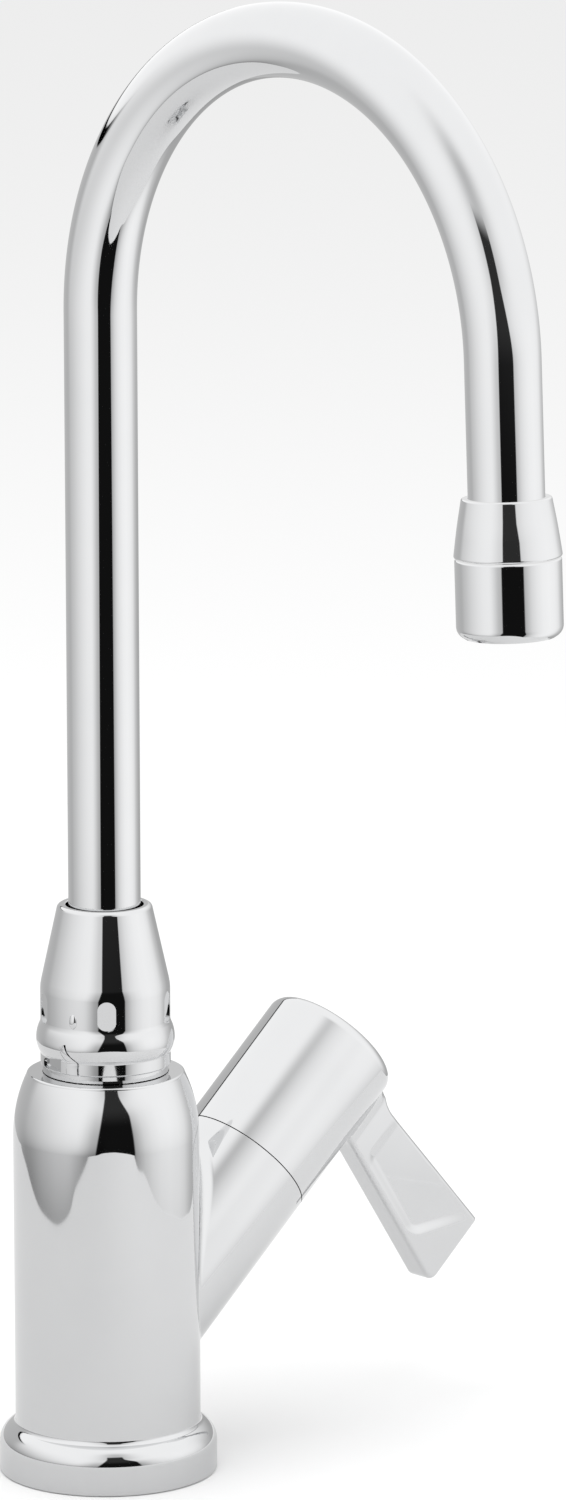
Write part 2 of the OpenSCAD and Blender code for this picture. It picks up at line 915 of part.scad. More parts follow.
module stem_washer() {
    color("ivory")
        on_branch(stem_washer_s)
            ring(driver_r - 0.4, stem_r + slip_fit, stem_washer_t);
}

module stem_seal() {
    color("dimgray")
        on_branch(stem_seal_s() + 0.1)
            ring(stem_r, stem_r - 1.15 + braze_gap, 1.8);
}

// The stop segment on the cap leaves the limit washer's tab just the handle's travel
module cartridge_cap() {
    sweep = 360 - handle_travel - stop_tab;
    color("whitesmoke")
        on_branch(0)
            difference() {
                union() {
                    translate([0, 0, cap_plug_s])
                        cylinder(r = chamber_r - slip_fit, h = cap_plug + eps);
                    translate([0, 0, cap_s])
                        cylinder(r = housing_r, h = cap_flange_t);
                    translate([0, 0, cap_top_s - eps])
                        rotate([0, 0, stop_tab / 2 + 0.4])
                            rotate_extrude(angle = sweep - 0.8)
                                translate([stop_in, 0])
                                    square([stop_out - stop_in, stop_h + eps]);
                }
                translate([0, 0, cap_plug_s - 1])
                    cylinder(r = stem_r + run_fit, h = cap_plug + cap_flange_t + 2);
            }
}

module limit_washer() {
    color("silver")
        on_branch(limit_s)
            difference() {
                union() {
                    cylinder(r = stop_in - stop_clear, h = limit_t);
                    rotate([0, 0, -stop_tab / 2])
                        rotate_extrude(angle = stop_tab)
                            translate([stem_r, 0])
                                square([stop_out - stem_r, limit_t]);
                }
                translate([0, 0, -eps])
                    spline(run_fit, limit_t + 2 * eps);
            }
}

module retaining_nut() {
    slot = 4;
    color("goldenrod")
        on_branch(cap_top_s)
            difference() {
                ring(socket_r - slip_fit, nut_bore_r, nut_top_s - cap_top_s);
                for (a = [0:90:270])
                    rotate([0, 0, a + 45])
                        translate([nut_bore_r - 1, -slot / 2, nut_top_s - cap_top_s - 2])
                            cube([socket_r, slot, 3]);
            }
}

module glide_ring() {
    inner = nut_bore_r + 1;
    color("ivory")
        on_branch(branch_len) {
            translate([0, 0, -glide_spigot])
                ring(socket_r - slip_fit, inner, glide_spigot + eps);
            ring(glide_r, inner, glide_rise);
        }
}

// Handle

// The blade's inner edge (side -1) or outer edge (side 1), at a distance from the hub's axis
function lever_side(d, side) =
    let (t = (d - lever_neck_d) / (lever_reach - lever_neck_d),
        half = (lever_neck_w + (lever_tip_w - lever_neck_w) * t) / 2,
        centre = lever_neck_s + (lever_mid_s - lever_neck_s) * t)
    centre + side * half;

module lever_blade_outline() {
    root_d = hub_r - 4;
    neck_in = lever_side(lever_neck_d, -1);
    neck_out = lever_side(lever_neck_d, 1);
    inner_tip = lever_side(lever_reach, -1);
    outer_tip = lever_side(lever_reach, 1);
    polygon(concat(
        [[root_d, neck_in], [lever_neck_d, neck_in]],
        arc_points(lever_reach - lever_corner, inner_tip + lever_corner, lever_corner, -80, 0, 5),
        arc_points(lever_reach - 1, outer_tip - 1, 1, 0, 85, 3),
        arc_points(lever_neck_d, neck_out + neck_sweep_r, neck_sweep_r, 270, 240, 5),
        [[root_d, hub_top - 0.15]]
    ));
}

module lever_handle() {
    cavity_r = hub_r - hub_wall;
    cavity_top = hub_top - hub_top_wall;
    color("gainsboro")
        on_branch(0)
            difference() {
                union() {
                    rotate_extrude()
                        polygon(concat(
                            [[0, boss_s], [boss_r, boss_s], [boss_r, hub_s + hub_skirt],
                                [boss_r, cavity_top], [cavity_r, cavity_top],
                                [cavity_r, hub_s + hub_skirt], [hub_bore_r, hub_s + hub_skirt],
                                [hub_bore_r, hub_s], [hub_r - 0.3, hub_s], [hub_r, hub_s + 0.3]],
                            arc_points(hub_r - hub_edge_r, hub_top - hub_edge_r, hub_edge_r, 0, 90, 8),
                            [[0, hub_top]]
                        ));
                    rotate([90, 0, 0])
                        translate([0, 0, -lever_t / 2])
                            linear_extrude(height = lever_t)
                                lever_blade_outline();
                }
                // Splined socket, screw hole and well, and the recess of the index cap
                translate([0, 0, boss_s - 1])
                    spline(run_fit, spline_end - boss_s + 1);
                translate([0, 0, spline_end - 1])
                    cylinder(r = screw_shank_r + 0.3, h = hub_len);
                translate([0, 0, screw_seat])
                    cylinder(r = well_r, h = hub_len);
                translate([0, 0, hub_top - cap_recess])
                    cylinder(r = cap_r + slip_fit, h = cap_recess + 1);
            }
}

module handle_screw() {
    color("silver")
        on_branch(screw_seat)
            difference() {
                union() {
                    translate([0, 0, stem_top_s - screw_seat - screw_bite])
                        cylinder(r = screw_shank_r, h = screw_seat - stem_top_s + screw_bite + eps);
                    cylinder(r = screw_head_r, h = screw_head_h);
                }
                translate([0, 0, 1.2])
                    cylinder(r = 1.8, h = screw_head_h, $fn = 6);
            }
}

module index_cap() {
    color("gainsboro")
        on_branch(hub_top - cap_recess)
            union() {
                rotate_extrude()
                    polygon([[0, 0], [cap_r, 0], [cap_r, cap_recess - 0.4], [cap_r - 0.5, cap_recess],
                        [0, cap_recess + 0.3]]);
                translate([0, 0, -cap_spigot])
                    ring(well_r - slip_fit, well_r - 1.3, cap_spigot + eps);
            }
}

faucet_body();
base_gasket();
mounting_shank();
rubber_washer();
steel_washer();
mounting_nut();
hot_supply_tube();
cold_supply_tube();
hot_supply_adapter();
cold_supply_adapter();
spout_nipple();
spout_collar();
collar_set_screw();
lower_thrust_washer();
upper_bearing_ring();
cartridge_housing();
port_seals();
fixed_disc();
cartridge_cap();
retaining_nut();
glide_ring();
spout_tube();
spout_ferrule();
spout_seals();
outlet_adapter();
aerator_housing();
aerator_washer();
flow_regulator();
aerator_insert();
aerator_screen();
moving_disc();
cartridge_stem();
stem_washer();
stem_seal();
limit_washer();
lever_handle();
handle_screw();
index_cap();
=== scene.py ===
import json
import math

import bmesh
import bpy
import numpy as np
from mathutils import Matrix, Vector
from mathutils.geometry import delaunay_2d_cdt

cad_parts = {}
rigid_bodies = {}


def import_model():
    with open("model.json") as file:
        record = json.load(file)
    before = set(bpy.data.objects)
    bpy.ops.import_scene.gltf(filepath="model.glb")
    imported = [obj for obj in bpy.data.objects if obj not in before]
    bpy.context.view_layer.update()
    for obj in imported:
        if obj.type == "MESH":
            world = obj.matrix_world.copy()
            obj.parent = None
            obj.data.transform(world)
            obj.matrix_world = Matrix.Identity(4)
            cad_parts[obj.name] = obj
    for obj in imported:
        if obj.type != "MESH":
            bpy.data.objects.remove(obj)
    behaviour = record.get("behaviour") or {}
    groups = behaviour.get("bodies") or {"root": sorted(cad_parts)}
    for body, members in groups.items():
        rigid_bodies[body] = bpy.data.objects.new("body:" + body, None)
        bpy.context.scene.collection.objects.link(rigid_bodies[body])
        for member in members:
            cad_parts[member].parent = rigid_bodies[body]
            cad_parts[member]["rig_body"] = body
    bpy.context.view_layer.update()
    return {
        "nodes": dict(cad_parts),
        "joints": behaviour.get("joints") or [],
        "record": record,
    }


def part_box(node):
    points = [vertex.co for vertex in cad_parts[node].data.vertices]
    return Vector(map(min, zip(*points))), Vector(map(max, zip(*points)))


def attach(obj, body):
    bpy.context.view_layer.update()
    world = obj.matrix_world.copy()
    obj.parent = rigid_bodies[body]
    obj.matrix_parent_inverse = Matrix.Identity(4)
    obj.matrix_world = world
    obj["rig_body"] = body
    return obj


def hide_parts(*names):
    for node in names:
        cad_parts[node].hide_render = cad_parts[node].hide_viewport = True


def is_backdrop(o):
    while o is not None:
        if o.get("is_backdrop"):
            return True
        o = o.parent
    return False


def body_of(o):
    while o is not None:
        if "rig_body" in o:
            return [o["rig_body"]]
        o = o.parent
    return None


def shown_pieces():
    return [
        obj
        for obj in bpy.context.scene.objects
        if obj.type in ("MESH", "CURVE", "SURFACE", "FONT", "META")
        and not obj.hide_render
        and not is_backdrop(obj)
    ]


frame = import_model()
nodes = frame["nodes"]
joints = {joint["name"]: joint for joint in frame["joints"]}
print("frame loaded,", len(nodes), "parts")

# Outlines, turned shapes and patches

weldStep = 1e-6
# Keeps round figures away from the welding cells' edges
weldShift = 0.317


def placed(name, data):
    piece = bpy.data.objects.new(name, data)
    bpy.context.scene.collection.objects.link(piece)
    return piece


def meshOf(name, points, faces):
    mesh = bpy.data.meshes.new(name)
    mesh.from_pydata(points, [], faces)
    return mesh


def ballMesh(name, columns, rows, radius, seat=Matrix()):
    mesh = bpy.data.meshes.new(name)
    shell = bmesh.new()
    bmesh.ops.create_uvsphere(shell, u_segments=columns, v_segments=rows, radius=radius)
    shell.transform(seat)
    shell.to_mesh(mesh)
    shell.free()
    return mesh


def keepResult(piece):
    # What the modifiers make becomes a plain mesh, and they go
    graph = bpy.context.evaluated_depsgraph_get()
    mesh = bpy.data.meshes.new_from_object(piece.evaluated_get(graph))
    piece.modifiers.clear()
    piece.data = mesh


class Outline:
    # A turned part's edge, from point to point, with the true normal at both ends of each step.
    # Metal lies to the left of the way that it runs.
    def __init__(self, r, z):
        self.points = [(r, z)]
        self.before = []
        self.after = []

    def line(self, r, z):
        fromR, fromZ = self.points[-1]
        length = math.hypot(r - fromR, z - fromZ)
        normal = ((z - fromZ) / length, (fromR - r) / length)
        self.points.append((r, z))
        self.before.append(normal)
        self.after.append(normal)
        return self

    def arc(self, centreR, centreZ, r, z, step=4.0):
        fromR, fromZ = self.points[-1]
        radius = math.hypot(fromR - centreR, fromZ - centreZ)
        start = math.atan2(fromZ - centreZ, fromR - centreR)
        turn = math.atan2(z - centreZ, r - centreR) - start
        turn = (turn + math.pi) % (2 * math.pi) - math.pi
        count = max(2, math.ceil(abs(math.degrees(turn)) / step))
        side = math.copysign(1, turn)
        for i in range(1, count + 1):
            one, two = start + turn * (i - 1) / count, start + turn * i / count
            end = (centreR + radius * math.cos(two), centreZ + radius * math.sin(two))
            self.points.append((r, z) if i == count else end)
            self.before.append((side * math.cos(one), side * math.sin(one)))
            self.after.append((side * math.cos(two), side * math.sin(two)))
        return self

    def corner(self, r, z, radius, nextR, nextZ):
        # A line towards (r, z), rounded there on its way to the next point
        fromR, fromZ = self.points[-1]
        back = np.array([fromR - r, fromZ - z])
        ahead = np.array([nextR - r, nextZ - z])
        back /= np.linalg.norm(back)
        ahead /= np.linalg.norm(ahead)
        half = math.acos(max(-1, min(1, float(back @ ahead)))) / 2
        reach = radius / math.tan(half)
        middle = (back + ahead) / np.linalg.norm(back + ahead) * radius / math.sin(half)
        start = np.array([r, z]) + back * reach
        end = np.array([r, z]) + ahead * reach
        self.line(*start)
        return self.arc(r + middle[0], z + middle[1], end[0], end[1], 12)


class Skin:
    # Faces kept as corner points, each with the true surface's normal there
    def __init__(self):
        self.blocks = []

    def add(self, points, normals):
        points, normals = np.array(points, float), np.array(normals, float)
        if points.shape[1] == 4:
            across = np.cross(points[:, 2] - points[:, 0], points[:, 3] - points[:, 1])
        else:
            across = np.cross(points[:, 1] - points[:, 0], points[:, 2] - points[:, 0])
        wrong = (across * normals.sum(1)).sum(1) < 0
        points[wrong] = points[wrong][:, ::-1]
        normals[wrong] = normals[wrong][:, ::-1]
        self.blocks.append((points, normals))

    def grid(self, points, before, after, wrapped=True):
        first, last = points[:-1], points[1:]
        shift = lambda rows: np.roll(rows, -1, axis=1)
        corners = np.stack([first, shift(first), shift(last), last], axis=2)
        normals = np.stack([before, shift(before), shift(after), after], axis=2)
        if not wrapped:
            corners, normals = corners[:, :-1], normals[:, :-1]
        self.add(corners.reshape(-1, 4, 3), normals.reshape(-1, 4, 3))

    def patch(self, flat, points, normals, loops):
        # Triangles over flat points, inside the first loop and outside the others
        edges = [(a, b) for loop in loops for a, b in zip(loop, loop[1:] + loop[:1])]
        made = delaunay_2d_cdt([Vector(p) for p in flat], edges, [], 0, 1e-9, True)
        source = [ids[0] for ids in made[3]]
        faces = np.array([[source[i] for i in face] for face in made[2]])
        flat = np.asarray(flat)
        middles = flat[faces].mean(1)
        keep = insideLoop(middles, flat[loops[0]])
        for loop in loops[1:]:
            keep &= ~insideLoop(middles, flat[loop])
        faces = faces[keep]
        self.add(points[faces], normals[faces])

    def make(self, name):
        points = np.concatenate([block[0].reshape(-1, 3) for block in self.blocks])
        normals = np.concatenate([block[1].reshape(-1, 3) for block in self.blocks])
        counts = np.concatenate([np.full(len(b[0]), b[0].shape[1]) for b in self.blocks])
        keys = np.floor(points / weldStep + weldShift).astype(np.int64)
        _, first, index = np.unique(keys, axis=0, return_index=True, return_inverse=True)
        index = index.reshape(-1)
        faces, kept, start = [], [], 0
        for count in counts:
            corners = list(range(start, start + count))
            start += count
            corners = [c for k, c in enumerate(corners) if index[c] != index[corners[k - 1]]]
            if len(corners) > 2:
                faces.append([int(index[c]) for c in corners])
                kept.extend(corners)
        mesh = meshOf(name, points[first].tolist(), faces)
        mesh.shade_smooth()
        flow = normals[kept]
        flow /= np.linalg.norm(flow, axis=1)[:, None]
        mesh.normals_split_custom_set(flow.tolist())
        return placed(name, mesh)


def insideLoop(points, loop):
    inside = np.zeros(len(points), bool)
    for (ax, ay), (bx, by) in zip(loop, np.roll(loop, -1, axis=0)):
        crosses = (ay > points[:, 1]) != (by > points[:, 1])
        if ay != by:
            inside ^= crosses & (points[:, 0] < ax + (points[:, 1] - ay) * (bx - ax) / (by - ay))
    return inside


def turned(skin, outline, seat, columns):
    origin, axes = seat
    angles = np.arange(columns) * 2 * math.pi / columns
    spokes = np.stack([np.cos(angles), np.sin(angles), np.zeros(columns)], axis=1)
    along = np.array([0.0, 0.0, 1.0])

    def spread(pairs):
        pairs = np.array(pairs)[:, None, :, None]
        return (pairs[:, :, 0] * spokes + pairs[:, :, 1] * along) @ axes

    points = spread(outline.points) + origin
    skin.grid(points, spread(outline.before), spread(outline.after))


def finished(piece, material, body, slot, *replaced):
    piece.data.materials.clear()
    piece.data.materials.append(material)
    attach(piece, body)
    if replaced:
        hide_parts(*replaced)
    print("made", piece.name, len(piece.data.polygons), "faces")
    return piece


# Seats: the upright axis, the slanted branch and the outlet, each as an origin and three axes

turnJoint = joints["handle_turn"]
branchUp = -np.array(turnJoint["axis"])
branchDown = np.array([branchUp[2], 0, -branchUp[0]])
jointPlace = np.array(turnJoint["pos_m"])
branchFoot = jointPlace - branchUp * jointPlace[0] / branchUp[0]
hubStart = float(np.linalg.norm(jointPlace - branchFoot))
uprightSeat = (np.zeros(3), np.eye(3))
branchSeat = (branchFoot, np.array([branchDown, [0, 1, 0], branchUp]))

_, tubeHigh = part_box("spout_tube")
gooseneck = {
    "tubeRadius": tubeHigh.y,
    "wall": 0.0012,
    "bendRadius": 0.076,
    "outletLean": 2.5,
    "tailLength": 0.0335,
    "socketDepth": 0.011,
    "foot": 0.102,
    "bendSteps": 120,
    "sides": 128,
    "sharpTurn": 50,
}
bendHeight = tubeHigh.z - gooseneck["bendRadius"] - gooseneck["tubeRadius"]
lean = math.radians(gooseneck["outletLean"])
flow = np.array([0, -math.sin(lean), -math.cos(lean)])
outward = np.array([0, -math.cos(lean), math.sin(lean)])
bendEnd = np.array([0, -gooseneck["bendRadius"], bendHeight]) + outward * gooseneck["bendRadius"]
outletSeat = (bendEnd + flow * gooseneck["tailLength"], np.array([[1, 0, 0], -outward, flow]))

# Materials


def fill(tree, node, **inputs):
    # Sets or links a node's inputs: underscores stand for spaces, and i0 is the input numbered 0
    for name, value in inputs.items():
        plain = name.replace("_", " ")
        key = int(plain[1:]) if plain[0] == "i" and plain[1:].isdigit() else plain
        if isinstance(value, Wire):
            tree.links.new(value.socket, node.inputs[key])
        else:
            node.inputs[key].default_value = value


class Wire:
    # A node's output, for sums written as plain expressions
    def __init__(self, tree, socket):
        self.tree = tree
        self.socket = socket

    def node(self, kind, settings=None, output=0, **inputs):
        made = self.tree.nodes.new(kind)
        for name, value in (settings or {}).items():
            setattr(made, name, value)
        fill(self.tree, made, **inputs)
        return Wire(self.tree, made.outputs[output])

    def maths(self, kind, one, two=0.0):
        return self.node("ShaderNodeMath", {"operation": kind}, i0=one, i1=two)

    def __add__(self, other):
        return self.maths("ADD", self, other)

    def __radd__(self, other):
        return self.maths("ADD", other, self)

    def __sub__(self, other):
        return self.maths("SUBTRACT", self, other)

    def __rsub__(self, other):
        return self.maths("SUBTRACT", other, self)

    def __mul__(self, other):
        return self.maths("MULTIPLY", self, other)

    def __rmul__(self, other):
        return self.maths("MULTIPLY", other, self)

    def __truediv__(self, other):
        return self.maths("DIVIDE", self, other)

    def __rtruediv__(self, other):
        return self.maths("DIVIDE", other, self)

    def ends(self, kind):
        # The tree's output node takes this
        out = self.tree.nodes.new(kind)
        self.tree.links.new(self.socket, out.inputs[0])

    def smooth(self, low, high):
        settings = {"interpolation_type": "SMOOTHSTEP"}
        return self.node("ShaderNodeMapRange", settings, Value=self, From_Min=low, From_Max=high)

    def between(self, low, lowEnd, high, highEnd):
        # Rises softly over the first two values and falls over the last two
        return self.smooth(low, lowEnd) * (1 - self.smooth(high, highEnd))

    def mixed(self, one, two):
        return self.node("ShaderNodeMix", {"data_type": "RGBA"}, 2, i0=self, i6=one, i7=two)

    def along(self, x, y, z):
        settings = {"operation": "DOT_PRODUCT"}
        return self.node("ShaderNodeVectorMath", settings, 1, i0=self, i1=(x, y, z))

    def noise(self, scale, detail, rough):
        kind = "ShaderNodeTexNoise"
        return self.node(kind, Vector=self, Scale=scale, Detail=detail, Roughness=rough)

    def bumped(self, strength, depth):
        return self.node("ShaderNodeBump", Strength=strength, Distance=depth, Height=self)


def newMaterial(name, bare=False):
    material = bpy.data.materials.new(name)
    material.use_nodes = True
    tree = material.node_tree
    if bare:
        tree.nodes.clear()
    return material, Wire(tree, tree.nodes.new("ShaderNodeTexCoord").outputs["Object"])


def painted(material, **values):
    tree = material.node_tree
    fill(tree, tree.nodes["Principled BSDF"], **values)
    return material


# Each noise is its scale, detail and roughness
chromeLook = {
    "tint": (0.665, 0.669, 0.675, 1),
    "smudge": (0.625, 0.63, 0.637, 1),
    "cloud": (38.0, 4.0, 0.6),
    "cloudEdges": (0.35, 0.75),
    "cloudShare": 0.35,
    "haze": (9.0, 2.0, 0.5),
    "hazeEdges": (0.3, 0.8),
    "hazeDull": 0.02,
    "polish": 0.03,
    "peel": (70.0, 1.0, 0.4),
    "peelStrength": 0.03,
    "peelDepth": 0.00002,
}
metalGrain = {
    "stain": (55.0, 5.0, 0.65),
    "stainEdges": (0.42, 0.72),
    "stainShare": 0.7,
    "stainDull": 0.16,
    "wobble": (420.0, 2.0, 0.5),
    "wobbleShare": 0.4,
    "grooveDetail": 3.0,
    "grooveDull": 0.12,
    "grooveStrength": 0.3,
    "grooveDepth": 0.00005,
}
mouldedGrain = {
    "cloud": (45.0, 4.0, 0.6),
    "cloudEdges": (0.35, 0.7),
    "cloudShare": 0.6,
    "spark": (1300.0, 2.0, 0.5),
    "sparkDull": 0.12,
    "sparkStrength": 0.15,
    "sparkDepth": 0.00004,
}
rubberGrain = {
    "cloud": (70.0, 5.0, 0.7),
    "cloudEdges": (0.45, 0.8),
    "cloudShare": 0.5,
    "spark": (900.0, 3.0, 0.6),
    "sparkDull": 0.15,
    "sparkStrength": 0.25,
    "sparkDepth": 0.00008,
}


def chromePlate(look):
    # Bright plate over a polished casting: faint cloudy patches and a very slight orange peel
    material, place = newMaterial("chromePlate")
    cloud = place.noise(*look["cloud"]).smooth(*look["cloudEdges"])
    haze = place.noise(*look["haze"]).smooth(*look["hazeEdges"])
    return painted(
        material,
        Metallic=1.0,
        Base_Color=(cloud * look["cloudShare"]).mixed(look["tint"], look["smudge"]),
        Roughness=haze * look["hazeDull"] + look["polish"],
        Normal=place.noise(*look["peel"]).bumped(look["peelStrength"], look["peelDepth"]),
    )


def turnedMetal(name, tint, worn, shine, marks, axis=(0, 0, 1), grain=metalGrain):
    # Machined metal with fine turning marks along one axis, and dull stains
    material, place = newMaterial(name)
    stain = place.noise(*grain["stain"]).smooth(*grain["stainEdges"])
    wobble = place.noise(*grain["wobble"])
    groove = place.node(
        "ShaderNodeTexNoise",
        {"noise_dimensions": "1D"},
        W=place.along(*axis) * marks + wobble * grain["wobbleShare"],
        Scale=1.0,
        Detail=grain["grooveDetail"],
    )
    return painted(
        material,
        Metallic=1.0,
        Base_Color=(stain * grain["stainShare"]).mixed(tint, worn),
        Roughness=stain * grain["stainDull"] + groove * grain["grooveDull"] + shine,
        Normal=groove.bumped(grain["grooveStrength"], grain["grooveDepth"]),
    )


def mouldedLook(name, tint, shade, shine, grain=mouldedGrain):
    # Moulded pieces, with faint cloudy patches and a fine grain
    material, place = newMaterial(name)
    cloud = place.noise(*grain["cloud"]).smooth(*grain["cloudEdges"])
    spark = place.noise(*grain["spark"])
    return painted(
        material,
        Base_Color=(cloud * grain["cloudShare"]).mixed(tint, shade),
        Roughness=spark * grain["sparkDull"] + shine,
        Normal=spark.bumped(grain["sparkStrength"], grain["sparkDepth"]),
    )


chrome = chromePlate(chromeLook)
crosswise = (0.7, 0.7, 0)
looks = {
    "chrome": chrome,
    "brass": turnedMetal(
        "machinedBrass", (0.78, 0.58, 0.27, 1), (0.52, 0.36, 0.15, 1), 0.2, 3200.0
    ),
    "copper": turnedMetal(
        "drawnCopper", (0.80, 0.42, 0.26, 1), (0.48, 0.22, 0.13, 1), 0.22, 900.0, crosswise
    ),
    "steel": turnedMetal(
        "stainlessSteel", (0.56, 0.56, 0.55, 1), (0.42, 0.42, 0.41, 1), 0.2, 2600.0, crosswise
    ),
    "rubber": mouldedLook(
        "blackRubber", (0.018, 0.018, 0.019, 1), (0.075, 0.073, 0.07, 1), 0.62, rubberGrain
    ),
    "acetal": mouldedLook("whiteAcetal", (0.80, 0.79, 0.75, 1), (0.70, 0.69, 0.64, 1), 0.32),
    "ceramic": mouldedLook("lappedCeramic", (0.86, 0.85, 0.82, 1), (0.80, 0.79, 0.76, 1), 0.12),
    "regulator": mouldedLook("regulatorGreen", (0.10, 0.30, 0.17, 1), (0.07, 0.22, 0.12, 1), 0.38),
}

sharpTurn = math.radians(32)
for part in frame["record"]["subparts"]:
    node = nodes[part["node"]]
    node.data.materials.clear()
    node.data.materials.append(looks[part["material_slot"]])
    node.data.set_sharp_from_angle(angle=sharpTurn)
print("materials made")

# Body casting: base flange, upright barrel, and the branch that runs into it with a small round

castingSizes = {
    "barrelRadius": 0.02465,
    "flangeEdge": 0.0072,
    "crownRound": 0.0059,
    "footRound": 0.0015,
    "baseRound": 0.0004,
    "shoulderHeight": 0.0174,
    "topRadius": 0.0209,
    "topRound": 0.0006,
    "neckRise": 0.0022,
    "gasketIn": 0.0206,
    "slip": 0.0001,
    "supplyRoom": 0.0002,
    "branchRadius": 0.0191,
    "socketRadius": 0.0156,
    "socketFloor": 0.026,
    "branchRound": 0.0022,
    "crotchRound": 0.0045,
    "crotchFull": 35,
    "crotchFade": 95,
    "parting": 0.00022,
    "rimRound": 0.00012,
    "columns": 180,
    "branchColumns": 200,
    "roundSteps": 9,
    "wallLow": 0.022,
    "wallHalf": 36,
    "wallStep": 0.003,
    "wallRim": 0.001,
    "wallEdge": 0.0003,
    "roundRim": 0.0009,
}
_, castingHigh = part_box("faucet_body")
collarLow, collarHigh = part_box("spout_collar")
nippleLow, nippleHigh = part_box("spout_nipple")
gasketLow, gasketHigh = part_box("base_gasket")
_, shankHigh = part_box("mounting_shank")
_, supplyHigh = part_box("hot_supply_tube")


